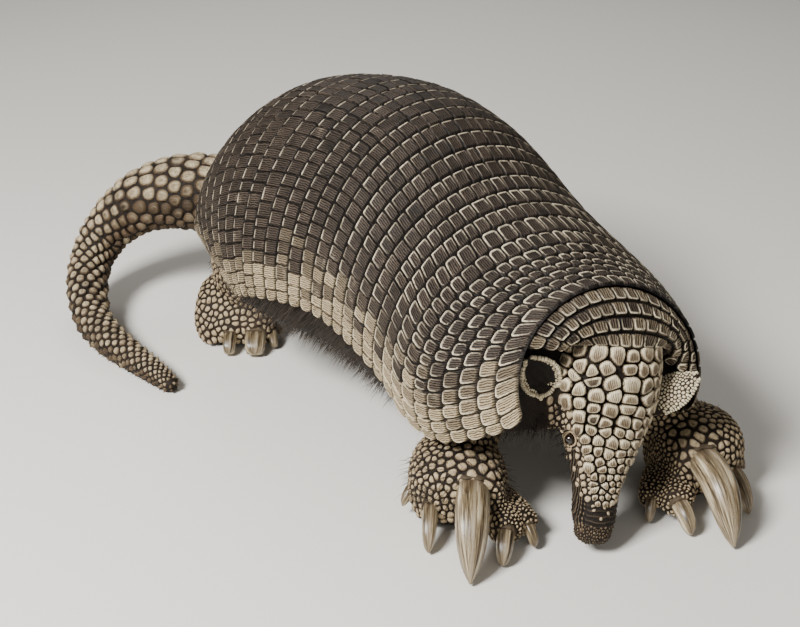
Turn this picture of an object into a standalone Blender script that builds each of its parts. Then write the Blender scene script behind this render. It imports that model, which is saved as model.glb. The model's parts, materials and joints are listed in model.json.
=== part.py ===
"""Giant armadillo (Priodontes maximus), life size, standing with its nose down to the ground.

The animal faces -Y and its left side is at +X. Every size is in metres. The body is drawn straight
first and then bent sideways, so that head and tail both turn towards the animal's right.
The solids are the flesh in parts (head, neck, trunk, tail, legs, feet, ears), the shell in its
plates (head shield, neck bands, shoulder shield, back bands, pelvic shield), the eyes and the claws.
"""

import math

import bmesh
import bpy
import numpy as np
from mathutils import Vector

# ---------------------------------------------------------------- driving sizes
GAP = 0.0003  # clearance between two solids that touch
SHELL = 0.0050  # thickness of the carapace
BAND_STEP = 0.0022  # how far a band's front edge dips under the band before it
BODY_BEND = 0.53  # sideways curvature of the spine, radians per metre
BACK_BANDS = 12
NECK_BANDS = 4
SHOULDER_END = 0.232  # share of the trunk that the shoulder shield covers
PELVIS_START = 0.652  # share of the trunk at which the pelvic shield starts

SHOULDER_ROWS, PELVIS_ROWS = 5, 5  # facets along each shield
ARC_STEPS = 14  # facets over the back, from rim to rim
BELLY_STEPS = 6  # facets under the belly, from rim to rim
LOOP = ARC_STEPS + BELLY_STEPS
HEAD_LOOP = 18  # facets round the head
BODY_LENGTH, TAIL_LENGTH, NAPE_LENGTH = 0.70, 0.55, 0.03  # for turning a gap into a share
NAPE_ARCH = 0.010  # how far the neck bands arch up between shoulder and head
NAPE_COVER, NAPE_REACH = 0.72, 1.44  # sides of the neck rows: share of the front hoop, radians on the head
NAPE_RIGHT = 0.80  # the neck rows' reach on the right, where they end above the ear
NAPE_SINK = 0.0070  # the neck rows start this far below the shoulder shield's face

# Trunk stations from the neck (0) to the tail root (1).
TRUNK_S = (0.00, 0.12, 0.30, 0.50, 0.70, 0.86, 0.95, 1.00)
TRUNK_Y = (-0.313, -0.225, -0.102, 0.021, 0.140, 0.234, 0.300, 0.356)
TRUNK_Z = (0.181, 0.146, 0.151, 0.172, 0.171, 0.162, 0.149, 0.141)
HALF_WIDTH = (0.107, 0.159, 0.164, 0.171, 0.190, 0.180, 0.157, 0.130)
BACK_HEIGHT = (0.096, 0.129, 0.157, 0.194, 0.200, 0.173, 0.126, 0.068)
LEAN_DEG = (18.0, 6.0, 0.0, -2.0, 6.5, 25.0, 43.5, 59.0)  # a hoop's top leans back
ROLL_DEG = (8.0, 6.0, 2.0, 0.0, 0.0, 0.0, 0.0, 0.0)  # the left shoulder hangs lower
COVER_DEG = (117.0, 118.0, 99.5, 95.5, 98.5, 106.0, 108.5, 103.5)  # crown to rim
BELLY_DROP = (0.055, 0.056, 0.080, 0.108, 0.098, 0.074, 0.060, 0.045)

# Head: u runs from the occiput (0) to the nose, whose tip is at HEAD_LENGTH.
OCCIPUT = np.array((-0.013, -0.316, 0.215))
NOSE_TIP = np.array((-0.064, -0.350, 0.025))
HEAD_TURN = math.radians(22.0)  # the forehead faces this much towards the animal's right
HEAD_U = (-0.020, 0.000, 0.025, 0.051, 0.075, 0.093, 0.115, 0.133, 0.159, 0.188, 0.206)
HEAD_HALF_WIDTH = (0.042, 0.049, 0.053, 0.053, 0.049, 0.044, 0.036, 0.029, 0.0235, 0.0200, 0.013)
HEAD_DEPTH = (0.068, 0.080, 0.088, 0.087, 0.082, 0.075, 0.064, 0.055, 0.044, 0.037, 0.022)
HEAD_CROWN = (-0.006, 0.0, 0.004, 0.005, 0.004, 0.003, 0.001, 0.0, -0.001, -0.002, -0.007)
CAP_U = (0.006, 0.050, 0.072, 0.093, 0.115, 0.158)  # where the head shield's reach is given
CAP_REACH_DEG = (60.0, 64.0, 60.0, 50.0, 48.0, 42.0)
EYE_U, EYE_SIDE, EYE_DROP, EYE_RADIUS = 0.102, 0.0365, 0.022, 0.0055
# Ears, the left one (1) and the right one (-1), which is pricked up further.
EAR_U, EAR_SIDE, EAR_DROP = {1: 0.056, -1: 0.053}, {1: 0.0590, -1: 0.0640}, 0.029
EAR_LENGTH, EAR_WIDTH, EAR_THICK = {1: 0.044, -1: 0.048}, {1: 0.033, -1: 0.037}, 0.0022
EAR_TURN = {1: math.radians(116.0), -1: math.radians(12.0)}  # how far each ear faces outwards
EAR_LIFT, EAR_AHEAD = {1: 0.66, -1: 0.80}, {1: 0.32, -1: 0.45}  # how far it points up and forwards
EAR_CUP = {1: 0.30, -1: 0.19}  # how deep each cup is, as a share of its width
EAR_SPREAD = {1: 0.74, -1: 0.80}  # how far each ear leans out from the head

# Tail: it follows its curl from inside the trunk to the ground and on to the tip.
TAIL_PATH = (
    (-0.040, 0.345, 0.150),
    (-0.105, 0.432, 0.158),
    (-0.163, 0.474, 0.148),
    (-0.208, 0.501, 0.113),
    (-0.243, 0.499, 0.075),
    (-0.270, 0.465, 0.047),
    (-0.290, 0.403, 0.0285),
    (-0.292, 0.345, 0.0215),
    (-0.284, 0.288, 0.0172),
    (-0.276, 0.241, 0.0146),
    (-0.270, 0.206, 0.0105),
)
TAIL_RADIUS = (
    0.054, 0.0515, 0.0435, 0.0335, 0.0280, 0.0262, 0.0236, 0.0214, 0.0176, 0.0148, 0.0106
)
TAIL_CUTS = (0.0, 0.34, 0.66, 1.0)

FLOOR = 0.0
SOLE_SINK = 0.008  # the sole's arch goes this far under the ground, which cuts it flat
TOE_LIFT = 0.0012  # the first toe is this far off the ground
TOE_STEP = 0.25  # and each toe after it is this share of that lift higher

# Feet: a frame on the ground at the root of the third claw, with the way the toes point.
FEET = {
    "forefoot_right": ((-0.144, -0.244), -43.3, -1),
    "forefoot_left": ((0.091, -0.335), -13.3, 1),
    "hindfoot_right": ((-0.123, 0.250), -35.0, -1),
    "hindfoot_left": ((0.085, 0.280), 35.0, 1),
}
# A foot's body along its own axis: ahead, outwards, half width, height, lift off the ground.
FORE_SOLE = (
    (-0.100, 0.026, 0.030, 0.060, 0.000),
    (-0.080, 0.024, 0.044, 0.078, 0.000),
    (-0.045, 0.020, 0.052, 0.088, 0.000),
    (-0.015, 0.016, 0.050, 0.086, 0.000),
    (0.003, 0.008, 0.040, 0.078, 0.016),
    (0.010, 0.004, 0.026, 0.068, 0.030),
)
HIND_SOLE = (
    (-0.105, 0.032, 0.026, 0.040, 0.000),
    (-0.088, 0.033, 0.040, 0.066, 0.000),
    (-0.055, 0.034, 0.050, 0.086, 0.000),
    (-0.020, 0.033, 0.053, 0.062, 0.000),
    (0.003, 0.028, 0.044, 0.034, 0.006),
)
# Digits 1 to 5: claw root and tip as (ahead, outwards, height), claw width, depth and bow,
# then the toe's start in the foot and its radius.
FORE_DIGITS = (
    ((0.002, -0.057, 0.024), (0.017, -0.068, 0.005), 0.0115, 0.013, 0.10, (-0.032, -0.026), 0.018),
    ((0.020, -0.038, 0.026), (0.053, -0.038, 0.005), 0.0180, 0.020, 0.10, (-0.026, -0.012), 0.022),
    ((-0.009, 0.000, 0.060), (0.087, -0.009, 0.005), 0.0350, 0.036, 0.17, None, 0.0),
    ((-0.003, 0.043, 0.032), (0.043, 0.039, 0.005), 0.0160, 0.022, 0.12, (-0.034, 0.030), 0.022),
    ((-0.046, 0.062, 0.032), (-0.022, 0.076, 0.014), 0.0110, 0.012, 0.10, None, 0.0),
)
HIND_DIGITS = (
    ((-0.046, -0.008, 0.018), (-0.028, -0.028, 0.006), 0.0100, 0.010, 0.10, None, 0.0),
    ((-0.016, -0.016, 0.018), (0.010, -0.022, 0.006), 0.0110, 0.011, 0.12, None, 0.0),
    ((0.000, 0.003, 0.021), (0.033, 0.002, 0.007), 0.0270, 0.017, 0.14, (-0.040, 0.012), 0.022),
    ((0.001, 0.036, 0.020), (0.030, 0.036, 0.006), 0.0170, 0.016, 0.14, (-0.040, 0.035), 0.021),
    ((-0.026, 0.066, 0.017), (-0.004, 0.072, 0.005), 0.0110, 0.012, 0.12, (-0.060, 0.048), 0.018),
)
# Legs: from inside the trunk to inside the foot.
LEGS = {
    "foreleg_right": (
        ((-0.085, -0.160, 0.165), (-0.100, -0.168, 0.115), (-0.102, -0.175, 0.055)),
        (0.054, 0.050, 0.034),
        "forefoot_right",
    ),
    "foreleg_left": (
        ((0.072, -0.200, 0.165), (0.095, -0.240, 0.115), (0.114, -0.266, 0.055)),
        (0.054, 0.050, 0.034),
        "forefoot_left",
    ),
    "hindleg_right": (
        ((-0.085, 0.262, 0.165), (-0.105, 0.286, 0.115), (-0.115, 0.306, 0.050)),
        (0.060, 0.056, 0.034),
        "hindfoot_right",
    ),
    "hindleg_left": (
        ((0.052, 0.262, 0.165), (0.066, 0.292, 0.115), (0.078, 0.320, 0.050)),
        (0.060, 0.056, 0.034),
        "hindfoot_left",
    ),
}


# ---------------------------------------------------------------- curves and frames
def through(places, values):
    """A smooth function that passes through the values at the places."""
    x, y = np.array(places, float), np.array(values, float)
    step = np.diff(x)
    slope = (np.diff(y, axis=0).T / step).T
    tangent = np.zeros_like(y)
    tangent[0], tangent[-1] = slope[0], slope[-1]
    for i in range(1, len(x) - 1):
        tangent[i] = (slope[i - 1] * step[i] + slope[i] * step[i - 1]) / (step[i] + step[i - 1])

    def at(place):
        i = int(np.clip(np.searchsorted(x, place) - 1, 0, len(step) - 1))
        t = min(max((place - x[i]) / step[i], 0.0), 1.0)
        return (
            (2 * t**3 - 3 * t**2 + 1) * y[i]
            + (t**3 - 2 * t**2 + t) * step[i] * tangent[i]
            + (3 * t**2 - 2 * t**3) * y[i + 1]
            + (t**3 - t**2) * step[i] * tangent[i + 1]
        )

    return at


def bent(point):
    """The straight body's point after the spine is bent towards the animal's right."""
    radius = 1.0 / BODY_BEND
    x, y, z = point
    turn = y * BODY_BEND
    return np.array(((radius + x) * math.cos(turn) - radius, (radius + x) * math.sin(turn), z))


def power(value, exponent):
    """value to an exponent, with its sign kept, for rounded-square sections."""
    return math.copysign(abs(value) ** exponent, value)


trunk_y, trunk_z = through(TRUNK_S, TRUNK_Y), through(TRUNK_S, TRUNK_Z)
half_width, back_height = through(TRUNK_S, HALF_WIDTH), through(TRUNK_S, BACK_HEIGHT)
lean, cover = through(TRUNK_S, np.radians(LEAN_DEG)), through(TRUNK_S, np.radians(COVER_DEG))
roll = through(TRUNK_S, np.radians(ROLL_DEG))
belly_drop = through(TRUNK_S, BELLY_DROP)


def hoop_point(s, side, height):
    """A point in the plane of the trunk's cross-section at s, before the bend is added."""
    back, up = math.sin(lean(s)), math.cos(lean(s))
    turn = roll(s)
    side, height = (
        side * math.cos(turn) + height * math.sin(turn),
        height * math.cos(turn) - side * math.sin(turn),
    )
    return bent((side, trunk_y(s) + height * back, trunk_z(s) + height * up))


def on_shell(s, share, depth):
    """A point on the carapace: share is -1 at the right rim, 0 on the crown and 1 at the left rim."""
    angle = share * cover(s)
    side = (half_width(s) - depth) * math.sin(angle)
    return hoop_point(s, side, (back_height(s) - depth) * math.cos(angle))


def trunk_section(s, inset, belly_inset):
    """The closed outline of the flesh at s, from the crown round by the left side."""
    width, height = half_width(s) - inset, back_height(s) - inset
    rim_side, rim_height = width * math.sin(cover(s)), height * math.cos(cover(s))
    half = ARC_STEPS // 2
    points = []
    for i in range(LOOP):
        if half < i < half + BELLY_STEPS:
            turn = math.pi * (i - half) / BELLY_STEPS
            depth = (belly_drop(s) - belly_inset + rim_height) * abs(math.sin(turn)) ** 0.8
            points.append(hoop_point(s, rim_side * math.cos(turn), rim_height - depth))
            continue
        angle = (i if i <= half else i - LOOP) / half * cover(s)
        points.append(hoop_point(s, width * math.sin(angle), height * math.cos(angle)))
    return points


# The head's own axes: towards the nose, out through the forehead, and to the animal's left.
HEAD_LENGTH = float(np.linalg.norm(NOSE_TIP - OCCIPUT))
TO_NOSE = (NOSE_TIP - OCCIPUT) / HEAD_LENGTH
FACING = np.array((-math.sin(HEAD_TURN), -math.cos(HEAD_TURN), 0.0))
TO_FOREHEAD = FACING - TO_NOSE * FACING.dot(TO_NOSE)
TO_FOREHEAD /= np.linalg.norm(TO_FOREHEAD)
TO_LEFT = np.cross(TO_FOREHEAD, TO_NOSE)

head_width, head_depth = through(HEAD_U, HEAD_HALF_WIDTH), through(HEAD_U, HEAD_DEPTH)
head_crown = through(HEAD_U, HEAD_CROWN)
cap_reach = through(CAP_U, np.radians(CAP_REACH_DEG))


def head_place(u, side, rise):
    return OCCIPUT + u * TO_NOSE + side * TO_LEFT + rise * TO_FOREHEAD


def on_head(u, angle, grow):
    """A point of the head's surface: angle is 0 on the forehead and grows towards the left cheek."""
    half_depth = head_depth(u) / 2
    side = (head_width(u) + grow) * power(math.sin(angle), 0.92)
    rise = (half_depth + grow) * power(math.cos(angle), 0.92)
    return head_place(u, side, head_crown(u) - half_depth + rise)


def head_section(u, grow, count):
    return [on_head(u, 2 * math.pi * i / count, grow) for i in range(count)]


# ---------------------------------------------------------------- meshes
def material(name, colour, roughness):
    made = bpy.data.materials.new(name)
    made.use_nodes = True
    shader = made.node_tree.nodes["Principled BSDF"]
    shader.inputs["Base Color"].default_value = (*colour, 1.0)
    shader.inputs["Roughness"].default_value = roughness
    shader.inputs["Metallic"].default_value = 0.0
    return made


def mesh_object(name, points, faces, finish):
    """An object whose origin is the middle of its own points."""
    points = np.array(points, float)
    middle = (points.min(axis=0) + points.max(axis=0)) / 2
    mesh = bpy.data.meshes.new(name)
    mesh.from_pydata((points - middle).tolist(), [], faces)
    mesh.update()
    made = bpy.data.objects.new(name, mesh)
    made.location = middle
    made.data.materials.append(finish)
    bpy.context.scene.collection.objects.link(made)
    mesh.shade_smooth()
    mesh.set_sharp_from_angle(angle=math.radians(50))
    return made


def loft(name, rings, finish):
    """A closed body through rings of equally many points, each end closed by a fan."""
    count, size = len(rings), len(rings[0])
    points = [point for ring in rings for point in ring]
    points += [np.mean(rings[0], axis=0), np.mean(rings[-1], axis=0)]
    faces = []
    for r in range(count - 1):
        for i in range(size):
            j = (i + 1) % size
            a, b = r * size + i, r * size + j
            faces += [(a, b, b + size), (a, b + size, a + size)]
    first, last = count * size, count * size + 1
    for i in range(size):
        j = (i + 1) % size
        faces.append((first, j, i))
        faces.append((last, (count - 1) * size + i, (count - 1) * size + j))
    return outward(mesh_object(name, points, faces, finish))


def stretched(name, points, finish):
    """The skin stretched over a cloud of points."""
    mesh = bmesh.new()
    for point in points:
        mesh.verts.new(point)
    hull = bmesh.ops.convex_hull(mesh, input=mesh.verts)
    inside = {v for v in hull["geom_interior"] if isinstance(v, bmesh.types.BMVert)}
    bmesh.ops.delete(mesh, geom=list(inside), context="VERTS")
    mesh.verts.ensure_lookup_table()
    mesh.verts.index_update()
    corners = [tuple(v.co) for v in mesh.verts]
    faces = [[v.index for v in f.verts] for f in mesh.faces]
    mesh.free()
    return outward(mesh_object(name, corners, faces, finish))


def slab(name, outer, inner, finish):
    """A closed plate between two grids of points that have the same rows and columns."""
    rows, columns = len(outer), len(outer[0])
    points = [p for row in outer for p in row] + [p for row in inner for p in row]
    under = rows * columns
    faces = []
    for r in range(rows - 1):
        for c in range(columns - 1):
            a, b = r * columns + c, r * columns + c + 1
            d, e = a + columns, b + columns
            faces += [(a, b, e), (a, e, d)]
            faces += [(under + a, under + e, under + b), (under + a, under + d, under + e)]
    border = [(0, c) for c in range(columns)] + [(r, columns - 1) for r in range(1, rows)]
    border += [(rows - 1, c) for c in range(columns - 2, -1, -1)]
    border += [(r, 0) for r in range(rows - 2, 0, -1)]
    edge = [r * columns + c for r, c in border]
    for a, b in zip(edge, edge[1:] + edge[:1]):
        faces.append((b, a, under + a, under + b))
    return outward(mesh_object(name, points, faces, finish))


def outward(made):
    """Turns a closed body's faces outwards if its volume comes out negative."""
    mesh = made.data
    mesh.calc_loop_triangles()
    corners = np.array([[mesh.vertices[v].co for v in t.vertices] for t in mesh.loop_triangles])
    if np.linalg.det(corners).sum() < 0:
        mesh.flip_normals()
    return made


def cutter(made):
    made.hide_render = True
    made.display_type = "WIRE"
    return made


def carve(made, *tools):
    """Takes the tools' shapes away from an object."""
    for tool in tools:
        cut = made.modifiers.new("clear_of_" + tool.name, "BOOLEAN")
        cut.operation = "DIFFERENCE"
        cut.solver = "EXACT"
        cut.object = tool


def grow_on(made, *tools):
    """Adds the tools' shapes to an object."""
    for tool in tools:
        join = made.modifiers.new("with_" + tool.name, "BOOLEAN")
        join.operation = "UNION"
        join.solver = "EXACT"
        join.use_self = True
        join.object = tool


def tube_rings(path, radii, stations, sides, floor=FLOOR):
    """Rings square to a smooth path, cut flat where they would reach below floor."""
    places = np.linspace(0.0, 1.0, len(path))
    centre, radius = through(places, path), through(places, radii)
    rings = []
    for t in stations:
        ahead, behind = centre(min(t + 0.01, 1.0)), centre(max(t - 0.01, 0.0))
        along = (ahead - behind) / np.linalg.norm(ahead - behind)
        across = np.cross(along, (0.0, 0.0, 1.0))
        across /= np.linalg.norm(across)
        up = np.cross(across, along)
        ring = []
        for i in range(sides):
            angle = 2 * math.pi * i / sides
            point = centre(t) + radius(t) * (across * math.sin(angle) + up * math.cos(angle))
            point[2] = max(point[2], floor)
            ring.append(point)
        rings.append(ring)
    return rings


# ---------------------------------------------------------------- the flesh
def shell_rows():
    """The places along the trunk at which the shell, and the flesh under it, have facet rows."""
    shoulder = np.linspace(0.0, SHOULDER_END, SHOULDER_ROWS + 1)
    bands = np.linspace(SHOULDER_END, PELVIS_START, BACK_BANDS + 1)
    pelvis = np.linspace(PELVIS_START, 1.0, PELVIS_ROWS + 1)
    return [*shoulder[:-1], *bands[:-1], *pelvis]


def trunk(name, finish, grow_back=0.0, grow_belly=0.0, first=2):
    """The flesh that carries the shell, on the same rows and columns as the shell."""
    inset = SHELL + GAP
    rows = shell_rows()[first:]
    rows[0] -= grow_belly / BODY_LENGTH
    rings = [trunk_section(s, inset - grow_back, inset - grow_belly) for s in rows]
    middle = np.mean(rings[-1], axis=0)
    backwards = middle - np.mean(rings[-2], axis=0)
    behind = middle + (0.012 + grow_belly) * backwards / np.linalg.norm(backwards)
    rings.append([behind + 0.6 * (p - middle) for p in rings[-1]])
    return loft(name, rings, finish)


def head(name, grow, finish):
    stations = (-0.020 - grow, 0.0, 0.025, 0.05, 0.072, 0.093, 0.112, 0.133, 0.155, 0.176, 0.188)
    rings = [head_section(u, grow, HEAD_LOOP) for u in (*stations, HEAD_LENGTH - 0.001 + grow)]
    return loft(name, rings, finish)


def neck(name, finish, grow=0.0):
    """The throat and nape, stretched between the trunk's front and the back of the head."""
    behind = trunk_section(0.15, 0.020 - grow, 0.012 - grow)
    before = trunk_section(0.06, 0.066 - grow, 0.030 - grow)
    nape_ring = head_section(-0.004, grow - 0.011, 14)
    head_ring = head_section(0.030 + grow, grow - 0.010, 14)
    return stretched(name, [*behind, *before, *nape_ring, *head_ring], finish)


def tail_rings(begin, end, grow=0.0):
    radii = np.array(TAIL_RADIUS) + grow
    return tube_rings(TAIL_PATH, radii, np.linspace(begin, end, 6), 14)


def tail(finish):
    """Three lengths of one tapering tube, the last one lying on the ground."""
    made = []
    for name, start, end in zip(("tail_root", "tail_middle", "tail_tip"), TAIL_CUTS, TAIL_CUTS[1:]):
        begin = start + (GAP / TAIL_LENGTH if start else 0.0)
        rings = tail_rings(begin, end)
        if end == 1.0:
            tip = np.mean(rings[-1], axis=0)
            step = tip - np.mean(rings[-2], axis=0)
            beyond = tip + 0.007 * step / np.linalg.norm(step)
            rings.append([beyond + 0.55 * (p - tip) for p in rings[-1]])
        made.append(loft(name, rings, finish))
    return made


def foot_axes(name):
    """The foot's frame on the ground: its origin, the way ahead and the way outwards."""
    origin, heading, side = FEET[name]
    turn = math.radians(heading)
    ahead = np.array((math.sin(turn), -math.cos(turn)))
    return np.array(origin), ahead, np.array((math.cos(turn), math.sin(turn))) * side


def foot_body(name, foot_name, finish, grow=0.0):
    """The foot from heel to toes: low arches with a flat sole on the ground."""
    origin, ahead, outwards = foot_axes(foot_name)
    rows = FORE_SOLE if "fore" in foot_name else HIND_SOLE
    rings = []
    for place, out, width, height, lift in rows:
        stretch = -grow if place == rows[0][0] else grow
        centre = origin + ahead * (place + stretch) + outwards * out
        low, high = lift - SOLE_SINK - grow, height + grow
        ring = []
        for i in range(12):
            angle = 2 * math.pi * i / 12
            side = (width + grow) * power(math.sin(angle), 0.8)
            rise = low + (high - low) * (0.5 + 0.5 * power(math.cos(angle), 0.75))
            ring.append(np.array((*(centre + outwards * side), max(rise, lift - grow, FLOOR))))
        rings.append(ring)
    return loft(name, rings, finish)


def foot(name, finish):
    """A foot with its toes, and the five claws in their sockets."""
    body = foot_body(name, name, finish)
    origin, ahead, outwards = foot_axes(name)
    digits = FORE_DIGITS if "fore" in name else HIND_DIGITS
    sockets = []
    for number, digit in enumerate(digits, start=1):
        root, tip, width, depth, bow, toe_start, toe_radius = digit
        ends = []
        for place, out, height in (root, tip):
            ends.append(np.array((*(origin + ahead * place + outwards * out), height)))
        claw_name = f"{name.replace('foot', 'claw')}_{number}"
        sockets.append((claw_name, ends, width, depth, bow))
        if toe_start is None:
            continue
        start = np.array((*(origin + ahead * toe_start[0] + outwards * toe_start[1]), 0.026))
        path = (start, start * 0.4 + ends[0] * 0.6, ends[0] * 1.12 - start * 0.12)
        radii = (toe_radius, toe_radius * 0.94, toe_radius * 0.72)
        low = TOE_LIFT * (1 + number * TOE_STEP)
        rings = tube_rings(path, radii, (0.0, 0.6, 1.0), 6, low)
        grow_on(body, cutter(loft(f"toe_of_{claw_name}", rings, finish)))
    return body, sockets


def claws(body, sockets, finish):
    for name, ends, width, depth, bow in sockets:
        sides = 8 if width > 0.03 else 6
        claw(name, *ends, width, depth, bow, finish, 0.0, sides)
        carve(body, cutter(claw("socket_" + name, *ends, width, depth, bow, finish, GAP, sides)))


# ---------------------------------------------------------------- ears, eyes and claws
def ear(name, side, finish):
    """A cupped, leaf-shaped ear. side is 1 on the left and -1 on the right."""
    base = head_place(EAR_U[side], side * EAR_SIDE[side], -EAR_DROP)
    along = -EAR_LIFT[side] * TO_NOSE + side * EAR_SPREAD[side] * TO_LEFT
    along += EAR_AHEAD[side] * TO_FOREHEAD
    along /= np.linalg.norm(along)
    turn = EAR_TURN[side]
    facing = math.cos(turn) * TO_FOREHEAD + side * math.sin(turn) * TO_LEFT
    facing -= along * facing.dot(along)
    facing /= np.linalg.norm(facing)
    across = np.cross(along, facing)
    front, back = [], []
    for a in np.linspace(-0.14, 1.0, 6):
        reach = min(1.0, 0.34 + 0.66 * max(a, 0.0))
        spread = EAR_WIDTH[side] / 2 * max(math.sin(math.pi * reach), 0.06) ** 0.75
        front.append([])
        back.append([])
        for b in np.linspace(-1.0, 1.0, 7):
            cup = EAR_CUP[side] * EAR_WIDTH[side] * b * b * (1.0 - 0.6 * max(a, 0.0))
            point = base + along * (a * EAR_LENGTH[side]) + across * spread * b + facing * (cup - 0.005)
            front[-1].append(point + facing * EAR_THICK / 2)
            back[-1].append(point - facing * EAR_THICK / 2)
    return slab(name, front, back, finish)


def ball(name, centre, radius, finish):
    rings = []
    for i in range(1, 6):
        tilt = math.pi * i / 6
        ring = []
        for j in range(8):
            turn = 2 * math.pi * j / 8
            flat = (math.sin(tilt) * math.cos(turn), math.sin(tilt) * math.sin(turn))
            ring.append(centre + radius * np.array((*flat, math.cos(tilt))))
        rings.append(ring)
    return loft(name, rings, finish)


def claw(name, root, tip, width, depth, bow, finish, grow, sides):
    """A curved horn from root to tip, bowed upwards, deeper than wide and pointed."""
    chord = tip - root
    length = np.linalg.norm(chord)
    along = chord / length
    root = root - along * grow
    across = np.cross(along, (0.0, 0.0, 1.0))
    across /= np.linalg.norm(across)
    up = np.cross(across, along)
    stations = (0.0, 0.2, 0.45, 0.75, 1.0) if width > 0.02 else (0.0, 0.35, 0.72, 1.0)
    rings = []
    for t in stations:
        taper = (1.0 - t**2.6) * 0.90 + 0.10
        centre = root + chord * t + up * bow * length * math.sin(math.pi * t)
        ring = []
        for i in range(sides):
            angle = 2 * math.pi * i / sides
            half = (width / 2 * taper + grow) * math.sin(angle)
            rise = (depth / 2 * taper + grow) * math.cos(angle)
            point = centre + across * half + up * rise
            point[2] = max(point[2], FLOOR)
            ring.append(point)
        rings.append(ring)
    return loft(name, rings, finish)


# ---------------------------------------------------------------- the shell
def shell_plate(name, start, end, rows, dip, finish):
    """A stretch of carapace from start to end. Its front edge dips under the plate before it."""
    outer, inner = [], []
    for r in range(rows + 1):
        s = start + (end - start) * r / rows
        sink = dip * (1.0 - r / rows)
        shares = np.linspace(-1.0, 1.0, ARC_STEPS + 1)
        outer.append([on_shell(s, share, sink) for share in shares])
        inner.append([on_shell(s, share, SHELL) for share in shares])
    return slab(name, outer, inner, finish)


def carapace(finish):
    """Shoulder shield, back bands and pelvic shield, with a small gap between neighbours."""
    part = GAP / BODY_LENGTH
    shell_plate("shoulder_shield", 0.0, SHOULDER_END - part, SHOULDER_ROWS, 0.0, finish)
    edges = np.linspace(SHOULDER_END, PELVIS_START, BACK_BANDS + 1)
    for i in range(BACK_BANDS):
        shell_plate(f"back_band_{i + 1:02d}", edges[i], edges[i + 1] - part, 1, BAND_STEP, finish)
    shell_plate("pelvic_shield", PELVIS_START, 1.0, PELVIS_ROWS, 0.0, finish)


def nape_line(share, t):
    """A point on the straight way from the shoulder shield's front hoop to the head shield."""
    hoop = on_shell(0.0, NAPE_COVER * share, NAPE_SINK)
    return hoop * (1 - t) + on_head(0.002, NAPE_REACH * share, 0.0036) * t


def nape(share, t, depth):
    """A point of the arched nape, from the shoulder shield (t = 0) to the head shield (t = 1)."""
    along = nape_line(share, t + 0.02) - nape_line(share, t - 0.02)
    across = nape_line(share + 0.02, t) - nape_line(share - 0.02, t)
    outside = np.cross(along, across)
    outside /= np.linalg.norm(outside)
    return nape_line(share, t) + outside * (NAPE_ARCH * math.sin(math.pi * t) - depth)


def neck_bands(finish):
    """Narrow rows on the nape. Each hind edge tucks under the plate behind it."""
    edges = np.linspace(0.03, 0.97, NECK_BANDS + 1)
    for i in range(NECK_BANDS):
        start, end = edges[i], edges[i + 1] - GAP / NAPE_LENGTH
        shares = np.linspace(-NAPE_RIGHT, 1.0, 11)
        outer = [[nape(a, start, 0.0012) for a in shares], [nape(a, end, 0.0) for a in shares]]
        inner = [[nape(a, start, 0.0030) for a in shares], [nape(a, end, 0.0026) for a in shares]]
        slab(f"neck_band_{i + 1}", outer, inner, finish)


def head_shield(finish):
    """The cap of plates from the nape to just above the nose."""
    outer, inner = [], []
    for u in np.linspace(CAP_U[0], CAP_U[-1], 9):
        angles = np.linspace(-cap_reach(u), cap_reach(u), 9)
        outer.append([on_head(u, a, 0.0036) for a in angles])
        inner.append([on_head(u, a, GAP * 5) for a in angles])
    return slab("head_shield", outer, inner, finish)


# ---------------------------------------------------------------- putting it together
def stand_at_origin():
    """Moves everything so that the origin is under the middle of the animal, on the ground."""
    bpy.context.view_layer.update()
    seen = bpy.context.evaluated_depsgraph_get()
    corners = []
    for made in bpy.data.objects:
        if not made.hide_render:
            solid = made.evaluated_get(seen)
            corners += [solid.matrix_world @ Vector(corner) for corner in solid.bound_box]
    low, high = np.min(corners, axis=0), np.max(corners, axis=0)
    shift = Vector(((low[0] + high[0]) / 2, (low[1] + high[1]) / 2, low[2]))
    for made in bpy.data.objects:
        made.location -= shift


def build():
    for old in list(bpy.data.objects):
        bpy.data.objects.remove(old)
    skin = material("skin", (0.36, 0.27, 0.20), 0.75)
    plate = material("shell_plate", (0.13, 0.095, 0.07), 0.5)
    pale_plate = material("head_plate", (0.45, 0.36, 0.26), 0.55)
    horn = material("claw_horn", (0.56, 0.47, 0.34), 0.35)
    dark_eye = material("eye", (0.012, 0.009, 0.007), 0.08)

    body = trunk("trunk", skin)
    round_trunk = cutter(trunk("trunk_clearance", skin, GAP, GAP))
    round_shell = cutter(trunk("shell_clearance", skin, SHELL + 2 * GAP, GAP, 0))
    skull = head("head", 0.0, skin)
    round_head = cutter(head("head_clearance", GAP, skin))
    throat = neck("neck", skin)
    round_neck = cutter(neck("neck_clearance", skin, GAP))
    carve(throat, round_trunk, round_head)
    carve(body, round_head)

    root = tail(skin)[0]
    carve(root, round_shell)
    round_tail = cutter(loft("tail_clearance", tail_rings(0.0, TAIL_CUTS[1], GAP), skin))

    for name, (path, radii, foot_name) in LEGS.items():
        sole, sockets = foot(foot_name, skin)
        claws(sole, sockets, horn)
        carve(sole, round_shell)
        around_foot = cutter(foot_body(foot_name + "_clearance", foot_name, skin, GAP))
        rings = tube_rings(path, radii, np.linspace(0.0, 1.0, 4), 10)
        leg = loft(name, rings, skin)
        carve(leg, round_shell, around_foot)
        if name == "hindleg_right":
            carve(leg, round_tail)

    for side, word in ((1, "left"), (-1, "right")):
        leaf = ear("ear_" + word, side, skin)
        carve(leaf, round_neck, round_head)
        place = head_place(EYE_U, side * EYE_SIDE, -EYE_DROP)
        ball("eye_" + word, place, EYE_RADIUS, dark_eye)
        carve(skull, cutter(ball("socket_eye_" + word, place, EYE_RADIUS + GAP, dark_eye)))

    carapace(plate)
    neck_bands(plate)
    head_shield(pale_plate)
    stand_at_origin()


build()
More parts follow.
